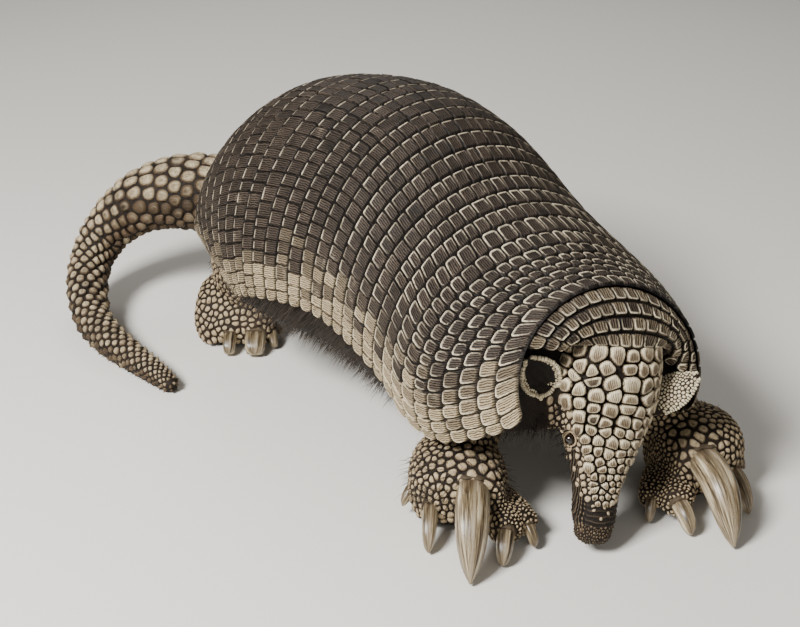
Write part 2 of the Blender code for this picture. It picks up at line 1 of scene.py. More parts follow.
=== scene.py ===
"""The looks of a life-size giant armadillo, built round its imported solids.

Every size is in metres unless its name says millimetres. The curves of the body are the same as in the
part's source: the animal faces -Y, its left side is at +X, and the straight body is bent sideways.
"""

import json
import math

import bmesh
import bpy
import numpy as np
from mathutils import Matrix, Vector
from mathutils.bvhtree import BVHTree
from mathutils.kdtree import KDTree

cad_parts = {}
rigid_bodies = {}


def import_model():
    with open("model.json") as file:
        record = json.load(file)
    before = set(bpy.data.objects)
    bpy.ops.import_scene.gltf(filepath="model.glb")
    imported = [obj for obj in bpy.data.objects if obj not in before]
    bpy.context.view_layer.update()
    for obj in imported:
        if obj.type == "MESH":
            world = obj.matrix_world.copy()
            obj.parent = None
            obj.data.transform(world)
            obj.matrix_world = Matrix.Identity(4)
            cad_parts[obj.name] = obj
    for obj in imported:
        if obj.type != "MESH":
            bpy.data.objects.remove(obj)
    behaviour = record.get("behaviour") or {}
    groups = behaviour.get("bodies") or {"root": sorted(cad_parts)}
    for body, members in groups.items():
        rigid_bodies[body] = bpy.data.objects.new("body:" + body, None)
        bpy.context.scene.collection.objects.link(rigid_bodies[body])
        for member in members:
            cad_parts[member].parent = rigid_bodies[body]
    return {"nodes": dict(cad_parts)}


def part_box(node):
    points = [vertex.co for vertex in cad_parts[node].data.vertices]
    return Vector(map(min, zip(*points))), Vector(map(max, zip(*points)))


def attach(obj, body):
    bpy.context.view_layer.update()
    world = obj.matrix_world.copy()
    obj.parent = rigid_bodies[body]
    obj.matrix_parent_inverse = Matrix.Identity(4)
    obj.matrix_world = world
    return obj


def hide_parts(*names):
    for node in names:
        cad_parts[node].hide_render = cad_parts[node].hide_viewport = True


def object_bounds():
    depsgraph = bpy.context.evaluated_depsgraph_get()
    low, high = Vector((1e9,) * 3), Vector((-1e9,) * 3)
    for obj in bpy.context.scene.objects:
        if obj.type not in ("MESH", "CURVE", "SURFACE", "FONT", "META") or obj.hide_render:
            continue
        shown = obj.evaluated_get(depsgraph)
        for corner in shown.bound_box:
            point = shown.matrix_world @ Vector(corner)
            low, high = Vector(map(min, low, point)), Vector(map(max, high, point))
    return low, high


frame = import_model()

CAD_BOX = [list(corner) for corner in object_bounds()]
MM = 0.001
BOTH_SIDES = ((1, "left"), (-1, "right"))

# ---------------------------------------------------------------- the body's own sizes
BODY_BEND = 0.53  # sideways curvature of the spine, radians per metre
SHOULDER_END, PELVIS_START = 0.232, 0.652
BACK_BANDS, NECK_BANDS = 12, 4
TRUNK_S = (0.00, 0.12, 0.30, 0.50, 0.70, 0.86, 0.95, 1.00)
TRUNK_Y = (-0.313, -0.225, -0.102, 0.021, 0.140, 0.234, 0.300, 0.356)
TRUNK_Z = (0.181, 0.146, 0.151, 0.172, 0.171, 0.162, 0.149, 0.141)
HALF_WIDTH = (0.107, 0.159, 0.164, 0.171, 0.190, 0.180, 0.157, 0.130)
BACK_HEIGHT = (0.096, 0.129, 0.157, 0.194, 0.200, 0.173, 0.126, 0.068)
LEAN_DEG = (18.0, 6.0, 0.0, -2.0, 6.5, 25.0, 43.5, 59.0)
ROLL_DEG = (8.0, 6.0, 2.0, 0.0, 0.0, 0.0, 0.0, 0.0)
COVER_DEG = (117.0, 118.0, 99.5, 95.5, 98.5, 106.0, 108.5, 103.5)

OCCIPUT = np.array((-0.013, -0.316, 0.215))
NOSE_TIP = np.array((-0.064, -0.350, 0.025))
HEAD_TURN = math.radians(22.0)
HEAD_U = (-0.020, 0.000, 0.025, 0.051, 0.075, 0.093, 0.115, 0.133, 0.159, 0.180, 0.192)
HEAD_HALF_WIDTH = (0.042, 0.049, 0.053, 0.053, 0.049, 0.044, 0.036, 0.029, 0.0230, 0.0190, 0.011)
HEAD_DEPTH = (0.068, 0.080, 0.088, 0.087, 0.082, 0.075, 0.064, 0.055, 0.044, 0.036, 0.020)
HEAD_CROWN = (-0.006, 0.0, 0.004, 0.005, 0.004, 0.003, 0.001, 0.0, -0.001, -0.002, -0.007)
EYE_U, EYE_SIDE, EYE_DROP, EYE_RADIUS = 0.102, 0.0365, 0.022, 0.0055
EAR_U, EAR_SIDE = {1: 0.056, -1: 0.053}, {1: 0.0590, -1: 0.0640}
EAR_DROP, EAR_THICK = 0.029, 0.0026
EAR_LENGTH, EAR_WIDTH = {1: 0.044, -1: 0.048}, {1: 0.033, -1: 0.037}
EAR_TURN = {1: math.radians(116.0), -1: math.radians(12.0)}  # how far each ear faces outwards
EAR_LIFT = {1: 0.66, -1: 0.80}  # how far it points up, out and forwards
EAR_SPREAD = {1: 0.74, -1: 0.80}
EAR_AHEAD = {1: 0.32, -1: 0.45}
EAR_CUP = {1: 0.30, -1: 0.19}
EAR_ROOT = {1: 0.34, -1: 0.17}  # how broad each ear starts, as a share of the way to its tip
NAPE_ARCH, NAPE_COVER, NAPE_REACH, NAPE_SINK = 0.010, 0.72, 1.44, 0.0070
NAPE_ROW_SINK = 4.6 * MM  # how far under the shoulder shield's face the neck's rows start
NAPE_RIGHT = 0.80  # how far the neck rows reach on the right, where the ear stands out
BELLY_DROP = (0.055, 0.056, 0.080, 0.108, 0.098, 0.074, 0.060, 0.045)

TAIL_PATH = (
    (-0.040, 0.345, 0.150),
    (-0.105, 0.432, 0.158),
    (-0.163, 0.474, 0.148),
    (-0.208, 0.501, 0.113),
    (-0.243, 0.499, 0.075),
    (-0.270, 0.465, 0.047),
    (-0.290, 0.403, 0.0285),
    (-0.292, 0.345, 0.0215),
    (-0.284, 0.288, 0.0172),
    (-0.276, 0.241, 0.0146),
    (-0.270, 0.206, 0.0105),
)
TAIL_RADIUS = (
    0.054, 0.0515, 0.0435, 0.0335, 0.0280, 0.0262, 0.0236, 0.0214, 0.0176, 0.0148, 0.0106
)

FEET = {
    "fore_right": ((-0.144, -0.244), -43.3, -1),
    "fore_left": ((0.091, -0.335), -13.3, 1),
    "hind_right": ((-0.123, 0.250), -35.0, -1),
    "hind_left": ((0.085, 0.280), 35.0, 1),
}
# A foot's body: ahead, outwards, half width, height, lift off the ground.
FORE_SOLE = (
    (-0.100, 0.026, 0.030, 0.060, 0.000),
    (-0.080, 0.024, 0.044, 0.078, 0.000),
    (-0.045, 0.020, 0.052, 0.088, 0.000),
    (-0.015, 0.016, 0.050, 0.086, 0.000),
    (0.003, 0.008, 0.040, 0.078, 0.016),
    (0.010, 0.004, 0.026, 0.068, 0.030),
)
HIND_SOLE = (
    (-0.105, 0.032, 0.026, 0.040, 0.000),
    (-0.088, 0.033, 0.040, 0.066, 0.000),
    (-0.055, 0.034, 0.050, 0.086, 0.000),
    (-0.020, 0.033, 0.053, 0.062, 0.000),
    (0.003, 0.028, 0.044, 0.034, 0.006),
)
# Claws 1 to 5: root and tip as (ahead, outwards, height), width, depth and bow, then the toe's
# start in the foot and its radius.
FORE_CLAWS = (
    ((0.002, -0.057, 0.024), (0.017, -0.068, 0.005), 0.0115, 0.013, 0.10, (-0.032, -0.026), 0.018),
    ((0.020, -0.038, 0.026), (0.053, -0.038, 0.005), 0.0180, 0.020, 0.10, (-0.026, -0.012), 0.022),
    ((-0.009, 0.000, 0.060), (0.087, -0.009, 0.005), 0.0350, 0.036, 0.17, None, 0.0),
    ((-0.003, 0.043, 0.032), (0.043, 0.039, 0.005), 0.0160, 0.022, 0.12, (-0.034, 0.030), 0.022),
    ((-0.046, 0.062, 0.032), (-0.022, 0.076, 0.014), 0.0110, 0.012, 0.10, None, 0.0),
)
HIND_CLAWS = (
    ((-0.046, -0.008, 0.018), (-0.028, -0.028, 0.006), 0.0100, 0.010, 0.10, None, 0.0),
    ((-0.016, -0.016, 0.018), (0.010, -0.022, 0.006), 0.0110, 0.011, 0.12, None, 0.0),
    ((0.000, 0.003, 0.021), (0.033, 0.002, 0.007), 0.0270, 0.017, 0.14, (-0.040, 0.012), 0.022),
    ((0.001, 0.036, 0.020), (0.030, 0.036, 0.006), 0.0170, 0.016, 0.14, (-0.040, 0.035), 0.021),
    ((-0.026, 0.066, 0.017), (-0.004, 0.072, 0.005), 0.0110, 0.012, 0.12, (-0.060, 0.048), 0.018),
)
# Legs: from inside the trunk to inside the foot, with the radius at each place.
LEGS = {
    "fore_right": (
        ((-0.085, -0.160, 0.165), (-0.100, -0.168, 0.115), (-0.102, -0.175, 0.055)),
        (0.054, 0.050, 0.034),
    ),
    "fore_left": (
        ((0.072, -0.200, 0.165), (0.095, -0.240, 0.115), (0.114, -0.266, 0.055)),
        (0.054, 0.050, 0.034),
    ),
    "hind_right": (
        ((-0.085, 0.262, 0.165), (-0.105, 0.286, 0.115), (-0.115, 0.306, 0.050)),
        (0.060, 0.056, 0.034),
    ),
    "hind_left": (
        ((0.052, 0.262, 0.165), (0.066, 0.292, 0.115), (0.078, 0.320, 0.050)),
        (0.060, 0.056, 0.034),
    ),
}


# ---------------------------------------------------------------- curves and frames
def through(places, values):
    """A smooth function that passes through the values at the places, for one place or for many."""
    x, y = np.array(places, float), np.array(values, float)
    step = np.diff(x)
    slope = (np.diff(y, axis=0).T / step).T
    tangent = np.empty_like(y)
    tangent[0], tangent[-1] = slope[0], slope[-1]
    inner = (slope[:-1].T * step[1:] + slope[1:].T * step[:-1]) / (step[:-1] + step[1:])
    tangent[1:-1] = inner.T

    def at(place):
        place = np.asarray(place, float)
        i = np.clip(np.searchsorted(x, place) - 1, 0, len(step) - 1)
        t = np.clip((place - x[i]) / step[i], 0.0, 1.0)
        h = step[i]
        if y.ndim > 1:
            t, h = t[..., None], h[..., None]
        return (
            (2 * t**3 - 3 * t**2 + 1) * y[i]
            + (t**3 - 2 * t**2 + t) * h * tangent[i]
            + (3 * t**2 - 2 * t**3) * y[i + 1]
            + (t**3 - t**2) * h * tangent[i + 1]
        )

    return at


def smooth(value):
    """0 below 0, 1 above 1 and an S-curve between."""
    value = np.clip(value, 0.0, 1.0)
    return value * value * (3.0 - 2.0 * value)


def power(value, exponent):
    """A power of the value's size that keeps its sign."""
    return np.sign(value) * np.abs(value) ** exponent


def unit(vectors):
    """The same ways with a length of 1."""
    vectors = np.asarray(vectors, float)
    return vectors / np.maximum(np.linalg.norm(vectors, axis=-1, keepdims=True), 1e-12)


HEAD_LENGTH = float(np.linalg.norm(NOSE_TIP - OCCIPUT))
TO_NOSE = (NOSE_TIP - OCCIPUT) / HEAD_LENGTH
FACING = np.array((-math.sin(HEAD_TURN), -math.cos(HEAD_TURN), 0.0))
TO_FOREHEAD = unit(FACING - TO_NOSE * FACING.dot(TO_NOSE))
TO_LEFT = np.cross(TO_FOREHEAD, TO_NOSE)

# The solids stand with the origin under their middle, so everything drawn here moves along with them.
designed_eye = OCCIPUT + EYE_U * TO_NOSE + EYE_SIDE * TO_LEFT - EYE_DROP * TO_FOREHEAD
SHIFT = (np.array(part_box("eye_left")[0]) + np.array(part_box("eye_left")[1])) / 2 - designed_eye
FLOOR = CAD_BOX[0][2]

trunk_y, trunk_z = through(TRUNK_S, TRUNK_Y), through(TRUNK_S, TRUNK_Z)
half_width, back_height = through(TRUNK_S, HALF_WIDTH), through(TRUNK_S, BACK_HEIGHT)
lean, cover = through(TRUNK_S, np.radians(LEAN_DEG)), through(TRUNK_S, np.radians(COVER_DEG))
roll, belly_drop = through(TRUNK_S, np.radians(ROLL_DEG)), through(TRUNK_S, BELLY_DROP)
head_width, head_depth = through(HEAD_U, HEAD_HALF_WIDTH), through(HEAD_U, HEAD_DEPTH)
head_crown = through(HEAD_U, HEAD_CROWN)
tail_centre = through(np.linspace(0.0, 1.0, len(TAIL_PATH)), TAIL_PATH)
tail_radius = through(np.linspace(0.0, 1.0, len(TAIL_PATH)), TAIL_RADIUS)


def circle(count):
    """Angles spread evenly round a full turn."""
    return np.linspace(0.0, 2 * math.pi, count, endpoint=False)


def run_along(path):
    """How far along a path each of its points lies."""
    return np.concatenate(([0.0], np.cumsum(np.linalg.norm(np.diff(path, axis=0), axis=1))))


def hoop_point(s, side, height):
    """A point in the plane of the trunk's cross-section at s."""
    turn = roll(s)
    side, height = (
        side * np.cos(turn) + height * np.sin(turn),
        height * np.cos(turn) - side * np.sin(turn),
    )
    along = trunk_y(s) + height * np.sin(lean(s))
    radius = 1.0 / BODY_BEND
    bend = along * BODY_BEND
    x, y = (radius + side) * np.cos(bend) - radius, (radius + side) * np.sin(bend)
    return np.stack((x, y, trunk_z(s) + height * np.cos(lean(s))), -1) + SHIFT


def on_shell(s, share, height):
    """The carapace: share is -1 at the right rim, 0 on the crown and 1 at the left rim."""
    angle = share * cover(s)
    side = (half_width(s) + height) * np.sin(angle)
    return hoop_point(s, side, (back_height(s) + height) * np.cos(angle))


def head_place(u, side, rise):
    """A point of the head: u from its back to the nose, side to its left, rise towards its brow."""
    u, side, rise = (np.asarray(v, float)[..., None] for v in (u, side, rise))
    return OCCIPUT + u * TO_NOSE + side * TO_LEFT + rise * TO_FOREHEAD + SHIFT


def from_head(points):
    """The points' own u, side and rise on the head."""
    local = points - SHIFT - OCCIPUT
    return local @ TO_NOSE, local @ TO_LEFT, local @ TO_FOREHEAD


def eye_middle(hand):
    """The middle of the left eyeball for 1, of the right one for -1."""
    return head_place(EYE_U, hand * EYE_SIDE, -EYE_DROP)


def on_head(u, angle, height):
    """The head: angle is 0 on the forehead and grows towards the left cheek."""
    half_depth = head_depth(u) / 2
    side = (head_width(u) + height) * power(np.sin(angle), 0.92)
    rise = (half_depth + height) * power(np.cos(angle), 0.92)
    return head_place(u, side, head_crown(u) - half_depth + rise)


def on_nape(t, share, height, sink=NAPE_SINK):
    """The nape: t is 0 at the shoulder shield and 1 at the head shield."""

    def line(t, share):
        t = np.asarray(t, float)[..., None]
        hoop = on_shell(np.zeros(t.shape[:-1]), NAPE_COVER * share, -sink)
        return hoop * (1 - t) + on_head(np.full(t.shape[:-1], 0.002), NAPE_REACH * share, 0.0036) * t

    t, share = np.broadcast_arrays(np.asarray(t, float), np.asarray(share, float))
    along = line(t + 0.02, share) - line(t - 0.02, share)
    across = line(t, share + 0.02) - line(t, share - 0.02)
    arch = NAPE_ARCH * np.sin(np.pi * t) + height
    return line(t, share) + unit(np.cross(along, across)) * arch[..., None]


def on_tail(t, angle, height):
    """The tail: t is 0 inside the trunk and 1 at the tip, angle is 0 on top."""
    along = unit(tail_centre(np.minimum(t + 0.01, 1.0)) - tail_centre(np.maximum(t - 0.01, 0.0)))
    across = unit(np.cross(along, (0.0, 0.0, 1.0)))
    up = np.cross(across, along)
    reach = (tail_radius(t) + height)[..., None]
    turn = np.asarray(angle)[..., None]
    point = tail_centre(t) + reach * (across * np.sin(turn) + up * np.cos(turn)) + SHIFT
    point[..., 2] = np.maximum(point[..., 2], FLOOR)
    return point


def foot_axes(name):
    """The foot's frame on the ground: its origin, the way ahead and the way outwards."""
    origin, heading, side = FEET[name]
    turn = math.radians(heading)
    ahead = np.array((math.sin(turn), -math.cos(turn), 0.0))
    outwards = np.array((math.cos(turn), math.sin(turn), 0.0)) * side
    return np.array((*origin, 0.0)) + SHIFT, ahead, outwards


def off_leg(foot, points):
    """How far each point lies sideways from the middle of a leg at its own height."""
    way = np.array(LEGS[foot][0]) + SHIFT
    level = through(way[::-1, 2], way[::-1, :2])(points[:, 2].clip(way[-1, 2], way[0, 2]))
    return points[:, :2] - level


# ---------------------------------------------------------------- materials
WAVE_STEP = 0.314  # a wave texture of scale 1 draws a line every 0.314 units
# The last colour is painted shade: near black, laid into the grooves between scutes and plates.
PALE_HORN, PALE_HORN_LINE, PAINTED_GROOVE_SHADE = "#c9b48f", "#4e3e2d", "#060403"


def linear(code):
    """An sRGB hex colour as linear red, green, blue and alpha."""
    parts = [int(code[i : i + 2], 16) / 255 for i in (1, 3, 5)]
    return (*[p / 12.92 if p <= 0.04045 else ((p + 0.055) / 1.055) ** 2.4 for p in parts], 1.0)


def add(tree, kind, inputs=None, stops=None, **settings):
    """Adds a node with its settings, its inputs' values or links, and a colour ramp's stops."""
    made = tree.nodes.new("ShaderNode" + kind)
    for key, value in settings.items():
        setattr(made, key, value)
    for socket, value in (inputs or {}).items():
        if isinstance(value, bpy.types.NodeSocket):
            tree.links.new(value, made.inputs[socket])
        else:
            made.inputs[socket].default_value = value
    if stops:
        ramp = made.color_ramp.elements
        while len(ramp) < len(stops):
            ramp.new(0.5)
        for element, (place, colour) in zip(ramp, stops):
            element.position = place
            element.color = linear(colour) if isinstance(colour, str) else (*[colour] * 3, 1.0)
    return made


def surface(name, roughness, specular=0.5, coat=0.0, coat_roughness=0.2):
    """A new material and its shader, with the constants on the shader's own sockets."""
    made = bpy.data.materials.new(name)
    made.use_nodes = True
    tree = made.node_tree
    shader = tree.nodes["Principled BSDF"]
    shader.inputs["Roughness"].default_value = roughness
    shader.inputs["Specular IOR Level"].default_value = specular
    shader.inputs["Coat Weight"].default_value = coat
    shader.inputs["Coat Roughness"].default_value = coat_roughness
    return made, tree, shader


def horn_over_bone(name, dark, mid, worn, pale, line_mm, roughness, contrast=0.75):
    """Horn plates over bone, grown in layers and rubbed by soil.

    The eye sees dark horn with a fine growth line every line_mm, rims worn light and chipped here and
    there, lighter still where the rim layer paints a highlight, painted shade near black in the grooves
    and paler plates towards the lower margin.
    """
    made, tree, shader = surface(name, roughness, 0.16)
    tone, rim, pale_share = (
        add(tree, "Attribute", attribute_name=name).outputs["Fac"] for name in ("tone", "rim", "pale")
    )
    lay = add(tree, "UVMap", uv_map="lay").outputs["UV"]
    place = add(tree, "TexCoord").outputs["Object"]
    lay_mm = add(tree, "VectorMath", {0: lay, 1: (1000.0,) * 3}, operation="MULTIPLY").outputs[0]
    lines = add(
        tree, "TexWave",
        {"Vector": lay_mm, "Scale": WAVE_STEP / line_mm, "Distortion": 5.0, "Detail": 3.0,
         "Detail Scale": 1.4, "Detail Roughness": 0.6},
        bands_direction="X",
    ).outputs["Fac"]
    blotch = add(tree, "TexNoise", {"Vector": place, "Scale": 55.0, "Detail": 5.0}).outputs["Fac"]
    grit = add(tree, "TexNoise", {"Vector": place, "Scale": 900.0, "Detail": 4.0}).outputs["Fac"]

    lift = add(tree, "Math", {0: blotch, 1: 0.55, 2: tone}, operation="MULTIPLY_ADD").outputs[0]
    body = add(
        tree, "ValToRGB", {"Fac": lift}, [(0.18, dark), (0.62, mid), (1.0, worn)]
    ).outputs["Color"]
    streak = add(
        tree, "MapRange", {"Value": lines, "From Min": 0.30, "From Max": 0.85, "To Max": contrast}
    ).outputs[0]
    streaked = add(
        tree, "Mix", {"Factor": streak, 6: body, 7: linear(dark)}, data_type="RGBA"
    ).outputs[2]
    pale_body = add(
        tree, "Mix", {"Factor": streak, 6: linear(pale), 7: linear(PALE_HORN_LINE)}, data_type="RGBA"
    ).outputs[2]
    margin = add(
        tree, "Mix", {"Factor": pale_share, 6: streaked, 7: pale_body}, data_type="RGBA"
    ).outputs[2]
    chipped = add(tree, "TexNoise", {"Vector": place, "Scale": 300.0, "Detail": 2.0}).outputs["Fac"]
    whole = add(
        tree, "MapRange", {"Value": chipped, "From Min": 0.36, "From Max": 0.52, "To Min": 0.45}
    ).outputs[0]
    # High rim values show the worn colour: real wear, and the painted highlights on the scutes' lit edges.
    rub = add(
        tree, "MapRange", {"Value": rim, "From Min": 0.60, "From Max": 0.92}
    ).outputs[0]
    rub = add(tree, "Math", {0: rub, 1: whole}, operation="MULTIPLY").outputs[0]
    rubbed = add(
        tree, "Mix", {"Factor": rub, 6: margin, 7: linear(worn)}, data_type="RGBA"
    ).outputs[2]
    # Painted shade: where the rim layer is low, in grooves, at buried edges and under tucked fronts, the horn
    # goes near black.
    groove_shade = add(
        tree, "MapRange", {"Value": rim, "From Min": 0.0, "From Max": 0.45, "To Min": 0.92, "To Max": 0.0}
    ).outputs[0]
    coloured = add(
        tree, "Mix", {"Factor": groove_shade, 6: rubbed, 7: linear(PAINTED_GROOVE_SHADE)}, data_type="RGBA"
    ).outputs[2]
    tree.links.new(coloured, shader.inputs["Base Color"])
    dull = add(
        tree, "MapRange", {"Value": grit, "To Min": roughness - 0.08, "To Max": roughness + 0.16}
    ).outputs[0]
    tree.links.new(dull, shader.inputs["Roughness"])
    fine = add(tree, "Bump", {"Height": grit, "Distance": 0.10 * MM, "Strength": 0.5}).outputs[0]
    grown = add(
        tree, "Bump", {"Height": lines, "Distance": 0.35 * MM, "Strength": 0.8, "Normal": fine},
        invert=True,
    ).outputs[0]
    tree.links.new(grown, shader.inputs["Normal"])
    return made


def creased_hide():
    """Bare hide, creased and finely pebbled: matt, with painted shade in its folds and in the valleys of its
    wrinkles, and worn, paler crests.

    The layers fold, cheek and muzzle say where lids and jowls fold and where the long and the cross
    wrinkles of the snout run. The wrinkles stand 3 to 5 mm apart, about as on the real animal.
    """
    made, tree, shader = surface("creased_hide", 0.72, 0.20)
    place = add(tree, "TexCoord").outputs["Object"]
    lay = add(tree, "UVMap", uv_map="lay").outputs["UV"]
    fold, cheek, muzzle = (
        add(tree, "Attribute", attribute_name=name).outputs["Fac"] for name in ("fold", "cheek", "muzzle")
    )
    pebbles = add(
        tree, "TexVoronoi", {"Vector": place, "Scale": 420.0, "Randomness": 0.9}, feature="F1"
    ).outputs["Distance"]
    folds = add(
        tree, "TexNoise", {"Vector": place, "Scale": 120.0, "Detail": 6.0, "Roughness": 0.62}
    ).outputs["Fac"]
    patches = add(tree, "TexNoise", {"Vector": place, "Scale": 14.0, "Detail": 3.0}).outputs["Fac"]
    lay_mm = add(tree, "VectorMath", {0: lay, 1: (1000.0,) * 3}, operation="MULTIPLY").outputs[0]
    wrinkles = None
    for direction, where, apart in (("X", cheek, 3.4), ("Y", muzzle, 4.8)):
        wave = add(
            tree, "TexWave",
            {"Vector": lay_mm, "Scale": WAVE_STEP / apart, "Distortion": 9.0, "Detail": 3.0,
             "Detail Scale": 0.35},
            bands_direction=direction,
        ).outputs["Fac"]
        level = add(tree, "Math", {0: wave, 1: 0.5}, operation="SUBTRACT").outputs[0]
        held = add(tree, "Math", {0: level, 1: where}, operation="MULTIPLY").outputs[0]
        if wrinkles is None:
            wrinkles = held
        else:
            wrinkles = add(tree, "Math", {0: wrinkles, 1: held}, operation="ADD").outputs[0]
    warm = add(
        tree, "ValToRGB", {"Fac": patches}, [(0.3, "#15100c"), (0.55, "#241c15"), (0.8, "#382c22")]
    ).outputs["Color"]
    # Painted shade: the low parts of the fold noise are darkened.
    sunk = add(
        tree, "MapRange", {"Value": folds, "From Min": 0.32, "From Max": 0.6, "To Min": 0.75, "To Max": 0.0}
    ).outputs[0]
    shaded = add(
        tree, "Mix", {"Factor": sunk, 6: warm, 7: linear("#120d0a")}, data_type="RGBA"
    ).outputs[2]
    raised = add(tree, "Math", {0: wrinkles, 1: 1.6, 2: fold}, operation="MULTIPLY_ADD").outputs[0]
    crest = add(
        tree, "MapRange", {"Value": raised, "From Min": 0.25, "From Max": 2.0, "To Max": 0.95}
    ).outputs[0]
    worn = add(
        tree, "Mix", {"Factor": crest, 6: shaded, 7: linear("#a08b6d")}, data_type="RGBA"
    ).outputs[2]
    # Painted shade: near black in the valleys of wrinkles, in the eye slits and in the ears' cups.
    valley_shade = add(
        tree, "MapRange", {"Value": raised, "From Min": -0.9, "From Max": -0.2, "To Min": 0.85, "To Max": 0.0}
    ).outputs[0]
    deep = add(
        tree, "Mix", {"Factor": valley_shade, 6: worn, 7: linear("#080504")}, data_type="RGBA"
    ).outputs[2]
    tree.links.new(deep, shader.inputs["Base Color"])
    small = add(
        tree, "Bump", {"Height": pebbles, "Distance": 0.5 * MM, "Strength": 0.7}, invert=True
    ).outputs[0]
    large = add(
        tree, "Bump", {"Height": folds, "Distance": 1.6 * MM, "Strength": 0.7, "Normal": small}
    ).outputs[0]
    creased = add(
        tree, "Bump", {"Height": wrinkles, "Distance": 1.6 * MM, "Strength": 1.0, "Normal": large}
    ).outputs[0]
    tree.links.new(creased, shader.inputs["Normal"])
    return made


def worn_claw_horn():
    """Keratin claw, worn by digging: lengthwise fibres, ivory to brown, half gloss, with painted shade
    darkening it towards the root under the fold of hide.
    """
    made, tree, shader = surface("worn_claw_horn", 0.36, 0.5, 0.15, 0.25)
    lay = add(tree, "UVMap", uv_map="lay").outputs["UV"]
    grain = add(tree, "Mapping", {"Vector": lay, "Scale": (1.0, 0.06, 1.0)}).outputs[0]
    fibres = add(
        tree, "TexNoise", {"Vector": grain, "Scale": 430.0, "Detail": 6.0, "Roughness": 0.68}
    ).outputs["Fac"]
    stains = add(
        tree, "TexNoise", {"Vector": grain, "Scale": 130.0, "Detail": 3.0}
    ).outputs["Fac"]
    root_shade = add(tree, "Attribute", attribute_name="tone").outputs["Fac"]
    mixed = add(tree, "Math", {0: fibres, 1: 0.55}, operation="MULTIPLY").outputs[0]
    mixed = add(tree, "Math", {0: stains, 1: 0.45, 2: mixed}, operation="MULTIPLY_ADD").outputs[0]
    horn = add(
        tree, "ValToRGB", {"Fac": mixed},
        [(0.40, "#241c15"), (0.47, "#66573f"), (0.53, "#998a70"), (0.62, "#d6caad")],
    ).outputs["Color"]
    # Painted shade: the tone layer darkens the horn towards its root.
    root_shaded = add(
        tree, "Mix", {"Factor": root_shade, 6: horn, 7: linear("#4c3c2c")}, data_type="RGBA"
    ).outputs[2]
    tree.links.new(root_shaded, shader.inputs["Base Color"])
    ridges = add(
        tree, "Bump", {"Height": fibres, "Distance": 0.45 * MM, "Strength": 0.8}
    ).outputs[0]
    tree.links.new(ridges, shader.inputs["Normal"])
    return made


def wet_dark_eye():
    """A living eye: almost black iris under a clear wet cornea, so a small sharp highlight shows."""
    made, _, shader = surface("wet_dark_eye", 0.14, 0.5, 1.0, 0.05)
    shader.inputs["Base Color"].default_value = linear("#140c07")
    shader.inputs["IOR"].default_value = 1.38
    return made


def studio_paper():
    """A pale matt paper sweep, so that the animal stands in soft, even light."""
    made, _, shader = surface("studio_paper", 0.9, 0.2)
    shader.inputs["Base Color"].default_value = linear("#dedad2")
    return made


# ---------------------------------------------------------------- making meshes
def placed_in_scene(name, data):
    """A new object in the scene."""
    made = bpy.data.objects.new(name, data)
    bpy.context.scene.collection.objects.link(made)
    return made


def unwrap(mesh, name, places):
    """Gives a mesh a UV map from one place for each of its points."""
    corners = np.empty(len(mesh.loops), np.int32)
    mesh.loops.foreach_get("vertex_index", corners)
    flat = mesh.uv_layers.new(name=name)
    flat.data.foreach_set("uv", np.asarray(places, np.float32)[corners].ravel())


def ring_faces(rings, around, inside_out=False, endless=False):
    """The four-sided faces between one ring of points and the next."""
    faces = []
    for r in range(rings if endless else rings - 1):
        a, b = r * around, (r + 1) % rings * around
        for i in range(around):
            j = (i + 1) % around
            faces.append((a + i, b + i, b + j, a + j) if inside_out else (a + i, a + j, b + j, b + i))
    return faces


def closed_tube(rings, inside_out=False):
    """Points and faces of a tube through rings of equal length, closed at both ends."""
    count, around = rings.shape[:2]
    ends = [tuple(range(around - 1, -1, -1)), tuple((count - 1) * around + i for i in range(around))]
    return rings.reshape(-1, 3), ring_faces(count, around, inside_out) + ends


def piece(name, points, faces, finish, slot, stands_for=(), lay=None, **layers):
    """A smooth-shaded mesh that rides on the body, with its own named layers of numbers."""
    mesh = bpy.data.meshes.new(name)
    mesh.from_pydata(np.asarray(points, float).tolist(), [], faces)
    for layer, values in layers.items():
        made = mesh.attributes.new(layer, "FLOAT", "POINT")
        made.data.foreach_set("value", np.asarray(values, np.float32))
    if lay is not None:
        unwrap(mesh, "lay", lay)
    mesh.shade_smooth()
    mesh.materials.append(finish)
    made = placed_in_scene(name, mesh)
    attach(made, "root")
    if stands_for:
        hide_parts(*stands_for)
    return made


class Gathered:
    """Points, faces and number layers of many small bodies, joined into one mesh at the end."""

    def __init__(self):
        self.points, self.faces, self.lay, self.layers, self.count = [], [], [], {}, 0

    def take(self, points, faces, lay, **layers):
        self.points.append(points)
        self.faces += [tuple(v + self.count for v in face) for face in faces]
        self.lay.append(lay)
        for name, values in layers.items():
            self.layers.setdefault(name, []).append(np.broadcast_to(values, len(points)))
        self.count += len(points)

    def join(self, other):
        """Takes over everything that another one has gathered."""
        self.faces += [tuple(v + self.count for v in face) for face in other.faces]
        self.points += other.points
        self.lay += other.lay
        for name, values in other.layers.items():
            self.layers.setdefault(name, []).extend(values)
        self.count += other.count

    def made(self, name, finish, slot, stands_for=()):
        """One piece of everything gathered."""
        layers = {key: np.concatenate(values) for key, values in self.layers.items()}
        points, lay = np.concatenate(self.points), np.concatenate(self.lay)
        return piece(name, points, self.faces, finish, slot, stands_for, lay, **layers)


